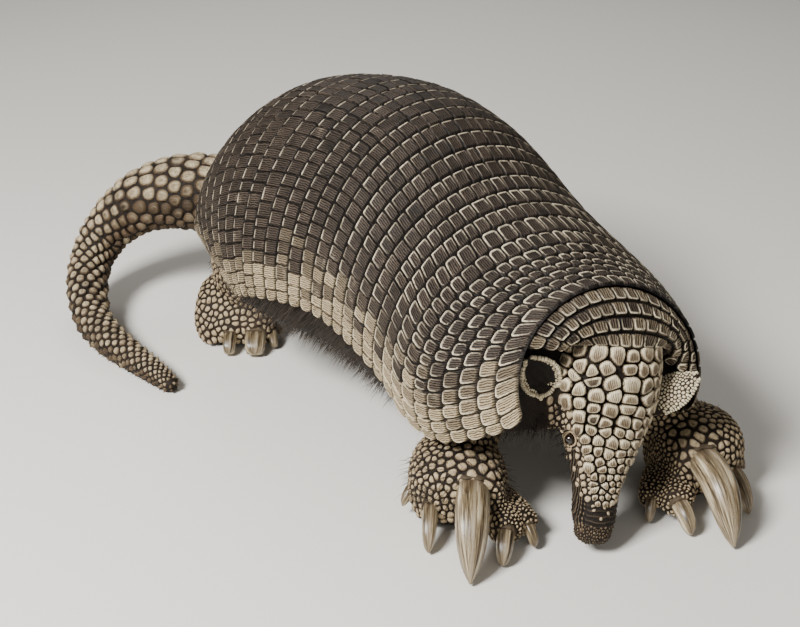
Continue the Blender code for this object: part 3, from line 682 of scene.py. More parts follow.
# ---------------------------------------------------------------- the shell's rows of scutes
TILE_ACROSS = np.array((0.0, 0.035, 0.075, 0.13, 0.20, 0.34, 0.50, 0.66, 0.80, 0.87, 0.925, 0.965))
TILE_ALONG = np.array((
    0.0, 0.040, 0.072, 0.105, 0.15, 0.21, 0.34, 0.52, 0.70, 0.80, 0.86, 0.905, 0.94, 0.97, 1.0
))
GROOVE, BEVEL = 2.6 * MM, 0.95 * MM
RIM_HEIGHT, RIM_AT, RIM_WIDTH, HOLLOW = 0.65 * MM, 1.6 * MM, 0.90 * MM, 0.75 * MM
# The scutes' faces lie this deep in the solid's, and a lifted one stands at most so far out of it.
FACE_SINK, FACE_LIMIT = 0.3 * MM, 0.3 * MM
PLATE_DEPTH, FREE_EDGE_DEPTH = 4.6 * MM, 2.4 * MM
PATH_STEPS = 160


def scute_row(into, surface_at, start, end, scutes, rng, paleness,
              tuck=1.6 * MM, rubbing=1.15, side_rim=1.0):
    """One row of scutes as one closed strip, from the right rim to the left rim.

    scutes gives the pitch from scute to scute, the radius of their corners, and the gaps: the groove
    between two rows and the finer one between two scutes. The front edge dips by tuck under the row
    before it, unless the row is the first of the shell. Each scute has a raised rim and a hollow
    middle, its own lift and tilt. rubbing is how light the rims are worn, and side_rim how much of
    the rim is left at the scutes' sides.
    """
    pitch, corner, gaps = scutes
    middle = np.linspace(-1.0, 1.0, PATH_STEPS)
    path = surface_at(np.full(PATH_STEPS, (start + end) / 2), middle, np.zeros(PATH_STEPS))
    run = run_along(path)
    count = max(int(round(run[-1] / pitch)), 3)
    widths = 1.0 + 0.13 * rng.standard_normal(count).clip(-1.6, 1.6)
    edges = np.concatenate(([0.0], np.cumsum(widths))) / widths.sum() * run[-1]

    tile = np.append(np.repeat(np.arange(count), len(TILE_ACROSS)), count - 1)
    part = np.append(np.tile(TILE_ACROSS, count), 1.0)
    width = edges[tile + 1] - edges[tile]
    place = edges[tile] + part * width
    share = np.interp(place, run, middle)

    near_end = np.minimum(place, run[-1] - place)
    pinch = 1.0 - 0.34 * (1.0 - smooth(near_end / (0.55 * pitch))) ** 2
    along = 0.5 + (TILE_ALONG[None, :] - 0.5) * pinch[:, None]
    s = start + (end - start) * along
    shares = np.broadcast_to(share[:, None], s.shape)
    flat = surface_at(s, shares, np.zeros(s.shape))
    length = np.linalg.norm(flat[:, -1] - flat[:, 0], axis=1)[:, None]

    x = ((part - 0.5) * width)[:, None]
    y = (TILE_ALONG[None, :] - 0.5) * length
    row_gap = np.minimum(gaps[0], 0.20 * length)
    free_front, free_back = start == 0.0, end == 1.0
    y = np.where((y < 0) & free_front | (y > 0) & free_back, y * (1.0 - row_gap / length), y)
    skew = rng.normal(0.0, 0.05, count)[tile][:, None] * y
    half_x, half_y = (width[:, None] - gaps[1]) / 2, (length - row_gap) / 2
    round_by = np.minimum(corner, 0.85 * np.minimum(half_x, half_y))
    qx, qy = np.abs(x) - (half_x - round_by), np.abs(y) - (half_y - round_by)
    outside = np.hypot(np.maximum(qx, 0), np.maximum(qy, 0)) + np.minimum(np.maximum(qx, qy), 0)
    inward = round_by - outside
    rise = smooth(inward / BEVEL)
    ridge = np.exp(-(((inward - RIM_AT) / RIM_WIDTH) ** 2))
    ridge = ridge * (1.0 - (1.0 - side_rim) * smooth((qx - qy) / (2.0 * MM) + 0.5))
    sunk = smooth((inward - RIM_AT) / (2.2 * MM))
    lift, tilt_x = rng.normal(0.0, 0.18 * MM, count), rng.normal(0.0, 0.035, count)
    dip = (0.0 if free_front else tuck) * (1.0 - smooth(TILE_ALONG / 0.40))[None, :]
    height = GROOVE * (rise - 1) + RIM_HEIGHT * ridge - HOLLOW * sunk - dip - FACE_SINK
    height = height + (lift[tile][:, None] + tilt_x[tile][:, None] * x + 0.5 * skew) * rise
    top = surface_at(s, shares, np.minimum(height, FACE_LIMIT))
    hem = np.stack((s[:, -1], s[:, len(TILE_ALONG) // 2], s[:, 0]), 1)
    hem_depth = np.where((0.0, 0.0, free_front), -FREE_EDGE_DEPTH, -PLATE_DEPTH) + 0.0 * hem
    low = surface_at(hem, np.broadcast_to(share[:, None], hem.shape), hem_depth)
    loops = np.concatenate((top, low), 1)

    columns, around = loops.shape[:2]
    points, faces = closed_tube(loops, inside_out=True)

    # Painted light in the rim layer: a painted highlight brightens each scute's rear edge and its side
    # towards the key light, and painted shade dims its front edge where it tucks under the row before.
    rear_edge_highlight = 0.50 + 0.58 * smooth((y / length + 0.45) / 0.8)
    clear_of_tuck_shade = smooth((y + half_y + 0.2 * MM) / (2.8 * MM))
    rim = np.zeros((columns, around))
    lit_side_highlight = 0.86 - 0.20 * x / half_x
    rubbed = rng.uniform(0.50, 1.0, count)[tile][:, None] * rubbing
    rim[:, : len(TILE_ALONG)] = rise * clear_of_tuck_shade * (0.50 + 0.50 * ridge * rear_edge_highlight * lit_side_highlight * rubbed)
    tile_middle = (edges[tile] + edges[tile + 1]) / 2
    tile_end = np.minimum(tile_middle, run[-1] - tile_middle)
    pale = paleness(start, share, tile_end, rng.normal(0.0, 0.30, count)[tile])
    own = rng.normal(0.0, 0.045, count)[tile] + 0.13 * np.clip(1.0 - tile_end / 0.16, 0.0, 1.0)
    lay = np.zeros((columns, around, 2))
    lay[:, : len(TILE_ALONG), 0] = place[:, None] + rng.uniform(0, 0.5)
    lay[:, : len(TILE_ALONG), 1] = y + skew
    into.take(
        points, faces, lay.reshape(-1, 2),
        tone=np.repeat(0.18 + own, around), rim=rim.ravel(), pale=np.repeat(pale, around),
    )


def shell_paleness(s, share, tile_end, luck):
    """The last three or four scutes towards each lower margin are pale, with a ragged upper edge."""
    reach = 0.052 - 0.008 * smooth((s - 0.1) / 0.4) - 0.010 * smooth((s - 0.8) / 0.2)
    return 0.70 * smooth((reach - tile_end) / 0.055 + 0.45 + 0.9 * luck)


def nape_paleness(s, share, tile_end, luck):
    """The neck's scutes are a little paler here and there."""
    return np.clip(0.12 + luck * 0.3, 0.0, 0.3)


SHOULDER_EDGES = (0.0, 0.030, 0.053, 0.078, 0.102, 0.128, 0.157, 0.193, SHOULDER_END)
PELVIS_EDGES = (PELVIS_START, 0.690, 0.728, 0.765, 0.800, 0.834, 0.866, 0.897, 0.925, 0.951, 0.976, 1.0)
BAND_EDGES = np.linspace(SHOULDER_END, PELVIS_START, BACK_BANDS + 1)
NAPE_EDGES = np.linspace(-0.03, 0.985, NECK_BANDS + 1)
SHOULDER_SCUTES = (0.0158, 4.8 * MM, (2.3 * MM, 0.6 * MM))
BAND_SCUTES = (0.0155, 2.4 * MM, (3.1 * MM, 0.5 * MM))
PELVIS_SCUTES = (0.0160, 2.2 * MM, (3.1 * MM, 0.5 * MM))
NAPE_SCUTES = (0.0140, 3.2 * MM, (2.1 * MM, 0.6 * MM))


def round_cornered(s, share, height):
    """The shoulder shield's face, its front lower corners rounded off."""
    return on_shell(s, share * (1.0 - 0.055 * (1.0 - np.clip(s / 0.045, 0.0, 1.0)) ** 2), height)


def wide_nape(t, share, height):
    """The nape's rows: on the left round the neck, on the right only as far as the ear."""
    return on_nape(t, share * np.where(share > 0.0, 1.10 + 0.20 * t, NAPE_RIGHT), height, NAPE_ROW_SINK)


def carapace():
    """Shoulder shield, back bands, pelvic shield and neck bands, one piece for each plate."""
    rng = np.random.default_rng(7)
    horn = horn_over_bone("dark_shell_horn", "#050403", "#4a3f35", "#d3c5a9", "#c2b08d", 2.6, 0.55, 0.97)

    def plate(name, surface_at, edges, scutes, paleness=shell_paleness, **looks):
        rows = Gathered()
        for start, end in zip(edges, edges[1:]):
            scute_row(rows, surface_at, start, end, scutes, rng, paleness, **looks)
        rows.made(f"{name}_scutes", horn, "shell_plate", [name])

    plate("shoulder_shield", round_cornered, SHOULDER_EDGES, SHOULDER_SCUTES)
    for i in range(BACK_BANDS):  # the rims are less and less worn towards the tail
        plate(
            f"back_band_{i + 1:02d}", on_shell, BAND_EDGES[i : i + 2], BAND_SCUTES,
            rubbing=1.15 - 0.025 * i, side_rim=max(0.85 - 0.06 * i, 0.35),
        )
    plate("pelvic_shield", on_shell, PELVIS_EDGES, PELVIS_SCUTES, rubbing=0.85, side_rim=0.25)
    for i in range(NECK_BANDS):
        plate(
            f"neck_band_{i + 1}", wide_nape, NAPE_EDGES[i : i + 2], NAPE_SCUTES, nape_paleness,
            tuck=0.8 * MM,
        )


# ---------------------------------------------------------------- plates fitted edge to edge
TOUCHING = 1e-6  # spots nearer than this count as one
SAME_SIDE = 0.2  # plates bound each other where their normals' cosine is at least this
SLIVER = 0.16  # a plate narrower than this share of its size is left out


def clipped(outline, toward, distance):
    """The part of a convex outline that lies less than distance along toward."""
    kept = []
    for here, there in zip(outline, outline[1:] + outline[:1]):
        a, b = here[0] * toward[0] + here[1] * toward[1], there[0] * toward[0] + there[1] * toward[1]
        if a <= distance:
            kept.append(here)
        if (a - distance) * (b - distance) < 0:
            t = (distance - a) / (b - a)
            kept.append((here[0] + t * (there[0] - here[0]), here[1] + t * (there[1] - here[1])))
    return kept


def rounded(outline, passes):
    """Cuts the corners of an outline, each pass twice as fine as the one before."""
    points = np.array(outline)
    for _ in range(passes):
        after = np.roll(points, -1, axis=0)
        points = np.stack((0.78 * points + 0.22 * after, 0.22 * points + 0.78 * after), 1).reshape(-1, 2)
    return points


def resampled(outline, count):
    """The same closed outline with evenly spread points."""
    closed = np.vstack((outline, outline[:1]))
    run = run_along(closed)
    at = np.linspace(0.0, run[-1], count, endpoint=False)
    return np.stack((np.interp(at, run, closed[:, 0]), np.interp(at, run, closed[:, 1])), 1)


def own_ground(i, spots, normals, sizes, finder, lie, side, gap, stretch):
    """The outline of the ground nearer to one spot than to any other, less half a gap."""
    spot, normal, size = spots[i], normals[i], sizes[i]
    wide = 0.72 * size
    outline = [
        (wide * math.cos(2 * math.pi * k / 12), wide * math.sin(2 * math.pi * k / 12)) for k in range(12)
    ]
    for _, other, distance in finder.find_range(spot, 1.9 * size * stretch):
        if other == i or distance < TOUCHING:
            continue
        away = spots[other] - spot
        flat = np.array((away @ lie / stretch, away @ side))
        reach = float(np.linalg.norm(flat))
        if reach < TOUCHING or np.dot(normals[other], normal) < SAME_SIDE:
            continue
        share = size / (size + sizes[other])
        outline = clipped(outline, flat / reach, reach * share - gap / 2)
        if len(outline) < 3:
            break
    return outline


def fitted_plates(spots, normals, lies, sizes, tree, profile, gap, sides, rng, tilt=0.0, stretch=1.0,
                  full_size=0.0, painted_shade=0.0, brightness=0.34, rim_wear_and_light=1.0):
    """Small closed plates, one round each spot, that fit edge to edge like cobbles.

    profile is the plate's shape from its buried edge to its middle: inset as a share of its size,
    height, and its rim value there, which wears light where high and takes painted shade near black
    where low. lies say which way each plate runs, stretch how much longer it is that way, and tilt how
    much it rises. A plate smaller than full_size is lower in proportion. Its brightness and its rim
    wear set the tone of the horn and of its rims; the rim wear carries painted light where a caller
    ties it to the way the plates face. Its painted shade darkens its far end and dims its rims there.
    """
    into = Gathered()
    gap, brightness, rim_wear_and_light = (np.broadcast_to(each, len(spots)) for each in (gap, brightness, rim_wear_and_light))
    finder = KDTree(len(spots))
    for i, spot in enumerate(spots):
        finder.insert(spot, i)
    finder.balance()
    for i, (spot, normal, size) in enumerate(zip(spots, normals, sizes)):
        lie = unit(lies[i] - normal * np.dot(lies[i], normal))
        side = np.cross(normal, lie)
        outline = own_ground(i, spots, normals, sizes, finder, lie, side, gap[i], stretch)
        if len(outline) < 3:
            continue
        ring = resampled(rounded(outline, 2), sides)
        centre = ring.mean(axis=0)
        if np.linalg.norm(ring - centre, axis=1).mean() < SLIVER * size:
            continue
        points, rims = [], []
        turn = rng.normal(0.0, 0.03, 2)
        for inset, height, rim in profile:
            height *= min(size / full_size, 1.0) if full_size and height > 0 else 1.0
            for x, y in centre + (ring - centre) * (1.0 - inset):
                rise = height + tilt * (x - centre[0]) + turn[0] * (x - centre[0]) + turn[1] * (y - centre[1])
                points.append((x, y, rise if height > 0 else height))
                rims.append(rim)
        points.append((*centre, profile[-1][1] + 0.0001))
        rims.append(profile[-1][2])
        placed, lay = [], []
        for x, y, rise in points:
            x *= stretch
            guess = Vector(spot + lie * x + side * y)
            near = tree.find_nearest(guess)[0] if tree else guess
            placed.append(np.array(near) + normal * rise)
            lay.append((x, y))
        placed, lay = np.array(placed), np.array(lay)
        placed[:, 2] = np.maximum(placed[:, 2], FLOOR + 0.0001)
        last, top = (len(profile) - 1) * sides, len(profile) * sides
        faces = [tuple(range(sides - 1, -1, -1))] + ring_faces(len(profile), sides)
        faces += [(last + k, last + (k + 1) % sides, top) for k in range(sides)]
        # Painted shade: the horn and its rims darken towards each plate's far end, along its lie.
        along = (lay[:, 0] - centre[0]) / size
        into.take(
            placed, faces, lay[:, ::-1] + rng.uniform(0.0, 0.4, 2),
            tone=brightness[i] + rng.normal(0.0, 0.12) - painted_shade * along,
            rim=rim_wear_and_light[i] * np.array(rims) * (1.0 - painted_shade * np.clip(along + 0.2, 0.0, 0.7)), pale=0.0,
        )
    return into


def snapped(tree, points):
    """The nearest places on a surface, and the ways out of it there."""
    found = [tree.find_nearest(Vector(point)) for point in points]
    return np.array([f[0] for f in found]), np.array([f[1] for f in found])


def grid_tree(points):
    """A search tree over a grid of surface points."""
    rows, columns = points.shape[:2]
    corners = [r * columns + c for r in range(rows - 1) for c in range(columns - 1)]
    faces = [(a, a + 1, a + columns + 1, a + columns) for a in corners]
    return BVHTree.FromPolygons(points.reshape(-1, 3).tolist(), faces)


HEAD_ROWS = (  # place along the head, plates across, their size
    (0.0085, 8, 0.0150), (0.0225, 9, 0.0152), (0.0365, 8, 0.0148), (0.0500, 8, 0.0142),
    (0.0630, 8, 0.0134), (0.0755, 7, 0.0126), (0.0870, 7, 0.0116), (0.0975, 6, 0.0108),
    (0.1075, 6, 0.0100), (0.1168, 6, 0.0094), (0.1255, 5, 0.0088), (0.1338, 5, 0.0082),
    (0.1415, 4, 0.0076), (0.1487, 4, 0.0070), (0.1552, 4, 0.0062), (0.1610, 3, 0.0054),
)
SCUTE_U = (0.006, 0.050, 0.072, 0.093, 0.115, 0.135, 0.160)
RIGHT_REACH = through(SCUTE_U, np.radians((78.0, 76.0, 62.0, 46.0, 40.0, 35.0, 28.0)))
LEFT_REACH = through(SCUTE_U, np.radians((78.0, 76.0, 68.0, 60.0, 52.0, 44.0, 34.0)))
HEAD_PROFILE = (
    (0.00, -0.0018, 0.0), (0.015, 0.0006, 0.25), (0.07, 0.0021, 0.70), (0.17, 0.0033, 1.0),
    (0.34, 0.0036, 0.86), (0.66, 0.0034, 0.50),
)


def head_shield():
    """The head's cap of irregular plates, large on the crown and small towards the nose."""
    rng = np.random.default_rng(23)
    places, angles, sizes = [], [], []
    for row, (u, count, size) in enumerate(HEAD_ROWS):
        left, right = float(LEFT_REACH(u)), float(RIGHT_REACH(u))
        reach = (left + right) / 2
        for k in range(count):
            angle = (left - right) / 2 + ((k + 0.5) / count * 2 - 1) * reach
            angle += (row % 2 - 0.5) * 0.45 * reach / count
            loose = 0.30 if abs(angle) < 0.8 * reach else 0.12
            angles.append(angle + rng.normal(0.0, loose) * reach / count)
            places.append(max(u + rng.normal(0.0, 0.17) * size, 0.0075))
            sizes.append(size * rng.uniform(0.88, 1.14))
    u, angle = np.array(places), np.array(angles)
    nothing = np.zeros(len(u))
    spots = on_head(u, angle, nothing + 0.0004)
    ahead = on_head(u + 0.004, angle, nothing) - on_head(u - 0.004, angle, nothing)
    across = on_head(u, angle + 0.05, nothing) - on_head(u, angle - 0.05, nothing)
    normals = unit(np.cross(ahead, across))
    normals *= np.sign(np.einsum("ij,ij->i", normals, spots - head_place(0.08, 0.0, -0.05)))[:, None]
    grid = np.meshgrid(np.linspace(-0.01, 0.190, 90), np.linspace(-1.9, 1.9, 90), indexing="ij")
    tree = grid_tree(on_head(*grid, np.full(grid[0].shape, 0.0002)))
    horn = horn_over_bone("head_scute_horn", "#2b221a", "#7d6c55", "#d0c1a2", PALE_HORN, 1.9, 0.50, 0.80)
    plates = fitted_plates(
        spots, normals, np.broadcast_to(TO_NOSE, spots.shape), sizes, tree, HEAD_PROFILE,
        (1.0 + 0.6 * smooth((u - 0.11) / 0.04)) * MM, 24, rng,
        stretch=1.08, full_size=0.0145, painted_shade=0.42, brightness=0.40,
    )
    plates.made("head_shield_scutes", horn, "head_plate", ["head_shield"])


TAIL_PROFILE = (
    (0.00, -0.0016, 0.0), (0.02, 0.0003, 0.25), (0.09, 0.0014, 0.66), (0.26, 0.0028, 0.88),
    (0.52, 0.0041, 1.0), (0.80, 0.0047, 0.9),
)
tail_scale_size = through((0.0, 0.30, 0.55, 0.80, 1.0), (0.0215, 0.0190, 0.0150, 0.0120, 0.0085))
TAIL_RINGS_FROM, TAIL_RING_STEP = 0.052, 0.80  # where the rings start, and their step in scales
TIP_SCALES, TIP_SCALE_SIZE, TIP_SPREAD = 5, 0.0075, 1.25


def tail_scales():
    """Rings of domed horny scales, each set half a scale round from the last, and a few at the tip."""
    rng = np.random.default_rng(31)
    spots, normals, lies, sizes = [], [], [], []
    t, row = TAIL_RINGS_FROM, 0
    length = float(np.linalg.norm(np.diff(tail_centre(np.linspace(0, 1, 200)), axis=0), axis=1).sum())
    while t < 1.0:
        radius = float(tail_radius(t))
        count = int(round(2 * math.pi * radius / float(tail_scale_size(t))))
        size = 2 * math.pi * radius / count
        for k in range(count):
            angle = 2 * math.pi * (k + 0.5 * (row % 2) + rng.normal(0.0, 0.06)) / count
            at = min(t + rng.normal(0.0, 0.05) * size / length, 1.0)
            here = on_tail(np.array(at), np.array(angle), np.array(0.0))
            if here[2] < FLOOR + 0.0022:
                continue
            spots.append(here)
            normals.append(unit(here - tail_centre(at) - SHIFT))
            lies.append(tail_centre(min(at + 0.01, 1.0)) - tail_centre(at - 0.01))
            sizes.append(size)
        t += TAIL_RING_STEP * size / length
        row += 1
    tip = on_tail(np.array(1.0), np.array(0.0), np.array(0.0))
    ahead = unit(tail_centre(1.0) - tail_centre(0.985))
    end = tail_centre(1.0) + SHIFT + 0.006 * ahead
    upwards = unit(tip - end + 0.006 * ahead)
    for k in range(TIP_SCALES):
        turn = TIP_SPREAD * (k - 2)
        out = upwards * math.cos(turn) + np.cross(ahead, upwards) * math.sin(turn)
        spots.append(end + 0.004 * out)
        normals.append(unit(ahead + 0.5 * out))
        lies.append(ahead)
        sizes.append(TIP_SCALE_SIZE)
    spots, normals, lies = np.array(spots), np.array(normals), np.array(lies)
    horn = horn_over_bone("tail_scale_horn", "#1d1610", "#66543f", "#b7a686", PALE_HORN, 1.9, 0.52, 0.75)
    # Painted light: scales that face up get lighter rims and those facing down darker ones, painted shade,
    # with some random wear on top.
    plates = fitted_plates(
        spots, normals, lies, sizes, skin_tree(), TAIL_PROFILE, 1.2 * MM, 20, rng,
        tilt=0.05, full_size=0.021, painted_shade=0.28, brightness=0.24,
        rim_wear_and_light=(0.70 + 0.30 * smooth(normals[:, 2] / 0.6)) * rng.uniform(0.80, 1.0, len(spots)),
    )
    plates.made("tail_scales", horn, "head_plate")


# ---------------------------------------------------------------- the small scales of limbs and face
LIMB_PROFILE = (
    (0.00, -0.0010, 0.0), (0.04, 0.0004, 0.30), (0.16, 0.0012, 0.80), (0.42, 0.0018, 1.0),
    (0.72, 0.0020, 0.9),
)
LIMB_SCALE_TRIES, FACE_SCALE_TRIES = 16000, 30000
KNUCKLE_SCALES, KNUCKLE_REACH = 9, 1.9  # the large scales round the digging claw, and how far round


def skin_tree():
    """A search tree over the finished skin."""
    mesh = bpy.data.objects["skin"].data
    return BVHTree.FromPolygons([v.co for v in mesh.vertices], [tuple(f.vertices) for f in mesh.polygons])


def skin_samples(count, rng, low, high):
    """Random places on the skin between two corners of a box, with the skin's way out there."""
    mesh = bpy.data.objects["skin"].data
    middles, ways, areas = (np.empty(len(mesh.polygons) * n, np.float32) for n in (3, 3, 1))
    mesh.polygons.foreach_get("center", middles)
    mesh.polygons.foreach_get("normal", ways)
    mesh.polygons.foreach_get("area", areas)
    middles, ways = middles.reshape(-1, 3), ways.reshape(-1, 3)
    inside = np.nonzero(((middles > low) & (middles < high)).all(axis=1))[0]
    chosen = rng.choice(inside, count, p=areas[inside] / areas[inside].sum())
    spread = np.sqrt(areas[chosen])[:, None] * rng.uniform(-0.5, 0.5, (count, 3))
    return middles[chosen] + spread, ways[chosen].astype(float)


def kept_apart(places, sizes):
    """The places that stay when each keeps its own size clear of the ones before it."""
    cell, grid, kept = 0.013, {}, []
    steps = [(dx, dy, dz) for dx in (-1, 0, 1) for dy in (-1, 0, 1) for dz in (-1, 0, 1)]
    for i, (x, y, z) in enumerate(places):
        key = (int(x // cell), int(y // cell), int(z // cell))
        clear = True
        for dx, dy, dz in steps:
            for j in grid.get((key[0] + dx, key[1] + dy, key[2] + dz), ()):
                gap = 0.43 * (sizes[i] + sizes[j])
                a, b, c = places[j]
                clear = clear and (x - a) ** 2 + (y - b) ** 2 + (z - c) ** 2 >= gap * gap
            if not clear:
                break
        if clear:
            grid.setdefault(key, []).append(i)
            kept.append(i)
    return kept


def limb_scale_size(foot, places):
    """Large scales round the digging claw, middling ones on the foot, granules on the inner toes."""
    origin, ahead, outwards = foot_axes(foot)
    offset = places - origin
    forth, out, height = offset @ ahead, offset @ outwards, places[:, 2] - FLOOR
    if "hind" in foot:
        return 0.0072 - 0.0020 * smooth((height - 0.085) / 0.04) + 0.0006 * smooth(out / 0.05)
    from_claw = np.linalg.norm(offset - (ahead * -0.014 + (0.0, 0.0, 0.070)), axis=1)
    big = 1.0 - smooth((from_claw - 0.016) / 0.022)
    inner = smooth((-0.018 - out) / 0.012) * smooth((forth + 0.06) / 0.02)
    size = 0.0072 + 0.0052 * big - 0.0034 * inner * (1.0 - big)
    return size - 0.0016 * smooth((height - 0.085) / 0.04)


def limb_scales():
    """Rounded scales over each leg and foot, overlapping a little towards the toes."""
    horn = horn_over_bone("limb_scale_horn", "#1b140f", "#5d4c39", "#b09d7d", PALE_HORN, 1.6, 0.56, 0.60)
    tree = skin_tree()
    for index, foot in enumerate(FEET):
        rng = np.random.default_rng(60 + index)
        origin, ahead, outwards = foot_axes(foot)
        centre = origin - ahead * 0.03
        low, high = centre - (0.13, 0.13, 0.0), centre + (0.13, 0.13, 0.0)
        low[2], high[2] = FLOOR + 0.004, FLOOR + (0.150 if "fore" in foot else 0.135)
        places, ways = skin_samples(LIMB_SCALE_TRIES, rng, low, high)
        offset = places - origin
        forth, out = offset @ ahead, offset @ outwards
        on_foot = (forth > -0.13) & (forth < 0.05) & (np.abs(out) < 0.095) & (places[:, 2] < FLOOR + 0.09)
        on_leg = np.linalg.norm(off_leg(foot, places), axis=1) < 0.066
        fair = (on_foot | on_leg) & (ways[:, 2] > -0.55)
        for one in CLAWS[foot]:
            fair &= ~one.holds(places, 1.2 * MM)
        places, ways = places[fair], ways[fair]
        if "fore" in foot:
            angles = np.linspace(-KNUCKLE_REACH, KNUCKLE_REACH, KNUCKLE_SCALES)
            back = -0.075 + 0.06 * np.abs(angles) / KNUCKLE_REACH
            ring = CLAWS[foot][DIGGING - 1].at(back, angles, 3.0 * MM)
            own_places, own_ways = snapped(tree, ring)
            places, ways = np.concatenate((own_places, places)), np.concatenate((own_ways, ways))
        sizes = limb_scale_size(foot, places)
        kept = kept_apart(places, sizes)
        near = [tree.find_nearest_range(Vector(places[i]), 0.004) for i in kept]
        normals = unit([
            np.sum([n[1] for n in group], axis=0) if group else ways[i] for i, group in zip(kept, near)
        ])
        lies = np.broadcast_to(ahead * 0.8 - np.array((0.0, 0.0, 0.55)), normals.shape)
        plates = fitted_plates(
            places[kept], normals, lies, sizes[kept], tree, LIMB_PROFILE, 1.1 * MM, 12, rng,
            tilt=0.10, stretch=1.15, painted_shade=0.30, brightness=0.30,
        )
        plates.made(f"{foot}_limb_scales", horn, "skin")


FACE_PROFILE = (
    (0.00, -0.0010, 0.0), (0.05, 0.0003, 0.35), (0.20, 0.0009, 0.85), (0.48, 0.0013, 1.0),
    (0.75, 0.0014, 0.9),
)
CHEEK_SCALES = (  # place along the head, degrees from the crown, size
    (0.066, 80.0, 0.0100), (0.0775, 66.0, 0.0100), (0.0885, 54.0, 0.0090), (0.083, 87.0, 0.0070),
    (0.0895, 71.0, 0.0060), (0.118, 60.0, 0.0058), (0.1245, 56.0, 0.0062),
    (0.131, 55.0, 0.0060), (0.1375, 52.0, 0.0064), (0.144, 50.0, 0.0062), (0.151, 47.0, 0.0060),
    (0.122, 84.0, 0.0044), (0.133, 78.0, 0.0042), (0.147, 72.0, 0.0042), (0.158, 40.0, 0.0054),
    (0.192, 62.0, 0.0040), (0.198, 78.0, 0.0044), (0.202, 50.0, 0.0040),
)
face_scale_size = through(
    (0.0, 0.05, 0.09, 0.13, 0.175, 0.190), (0.0085, 0.0078, 0.0056, 0.0042, 0.0028, 0.0021)
)


def face_scales():
    """Scattered scales on temples, cheeks and the sides of the snout, smallest near the nose.

    The cap of head plates, the bridge, the lids and the ears stay free of them.
    """
    rng = np.random.default_rng(77)
    tree = skin_tree()
    low = head_place(0.08, 0.0, -0.05) - 0.12
    places, ways = skin_samples(FACE_SCALE_TRIES, rng, low, low + 0.24)
    u, side, rise = from_head(places)
    middle = head_crown(u) - head_depth(u) / 2
    angle = np.abs(np.arctan2(side, rise - middle))
    on_head_skin = np.abs(np.hypot(side, rise - middle) - (head_width(u) + head_depth(u) / 2) / 2) < 0.014
    reach = np.where(side > 0, LEFT_REACH(u), RIGHT_REACH(u))
    inside_cap = angle < reach + 0.10
    snout_side = (u > 0.112) & (u < 0.186) & (angle > reach + 0.20) & (rng.uniform(size=len(u)) > 0.02)
    bare_bridge = (u > 0.160) & (u < 0.186)
    fair = on_head_skin & (u > -0.004) & (u < 0.206) & (angle < 2.25) & ~(inside_cap & (u < 0.160))
    fair &= ~snout_side & ~(bare_bridge & (rng.uniform(size=len(u)) > 0.03))
    for hand in (1, -1):
        look, along, across = eye_axes(hand)
        offset = places - eye_middle(hand)
        spread = np.hypot(offset @ along, offset @ across)
        fair &= (spread > 11.0 * MM) | (offset @ look < -0.006)
        a, b, height = on_leaf(hand, places)
        fair &= (a < -0.30) | (a > 1.2) | (np.abs(b) > 1.3) | (np.abs(height) > 0.008)
    places, ways, u, angle = places[fair], ways[fair], u[fair], angle[fair]
    sizes = face_scale_size(u) * (1.0 - 0.35 * smooth((angle - 1.35) / 0.6))
    own_u, own_angle, own_size = np.array(CHEEK_SCALES).T
    for hand in (1, -1):
        own_places, own_ways = snapped(
            tree, on_head(own_u, np.radians(own_angle) * hand, np.zeros(len(own_u)))
        )
        places, ways = np.concatenate((own_places, places)), np.concatenate((own_ways, ways))
        sizes, u = np.concatenate((own_size, sizes)), np.concatenate((own_u, u))
    order = kept_apart(places, sizes)
    lies = np.broadcast_to(TO_NOSE, (len(order), 3))
    horn = horn_over_bone("face_scale_horn", "#241b14", "#66543f", "#b3a184", PALE_HORN, 1.5, 0.56, 0.5)
    at_tip = smooth((u - 0.176) / 0.012)[order]
    plates = fitted_plates(
        places[order], ways[order], lies, sizes[order], tree, FACE_PROFILE, (1.1 - 0.3 * at_tip) * MM, 10,
        rng, tilt=0.05, stretch=1.25, full_size=0.006, painted_shade=0.20, brightness=0.34 - 0.20 * at_tip,
        rim_wear_and_light=1.0 - 0.30 * at_tip,
    )
    plates.made("face_scales", horn, "skin")


EAR_PROFILE = (
    (0.00, -0.0004, 0.0), (0.05, 0.0002, 0.35), (0.20, 0.0006, 0.85), (0.48, 0.0009, 1.0),
    (0.75, 0.0010, 0.9),
)
BEAD_PROFILE = (
    (0.00, -0.0013, 0.3), (0.02, 0.0004, 0.55), (0.14, 0.0013, 0.90), (0.42, 0.0019, 1.0),
    (0.75, 0.0021, 1.0),
)
GRANULE_TRIES = 1500
GRANULES = ((-1, (0.0, 0.93), 0.0033), (1, (0.76, 0.95), 0.0024))  # back or front, where across, size
EDGE_BEADS, ROOT_BEADS, BEAD_SIZE = 18, 10, 0.0034
BEADS_LIFT, ROOT_SAG = 0.4 * MM, 5.0 * MM  # off the leaf's middle, and the root's row below the ear
EAR_ROLL = {1: -0.9, -1: 1.1}  # which way the rim's beads roll over, out of the cup or behind it


def leaf_half(b):
    """Half the ear's thickness at b across it."""
    return EAR_THICK * (0.50 + 0.55 * np.abs(b / 1.02) ** 8) * (1.0 - (b / 1.02) ** 2).clip(0.0, 1.0) ** 0.175


def beads(places, ways, lies, sizes, rng):
    """A row of the rim's larger beads."""
    return fitted_plates(
        places, ways, lies, sizes, None, BEAD_PROFILE, 0.4 * MM, 12, rng, brightness=0.60, rim_wear_and_light=0.95
    )


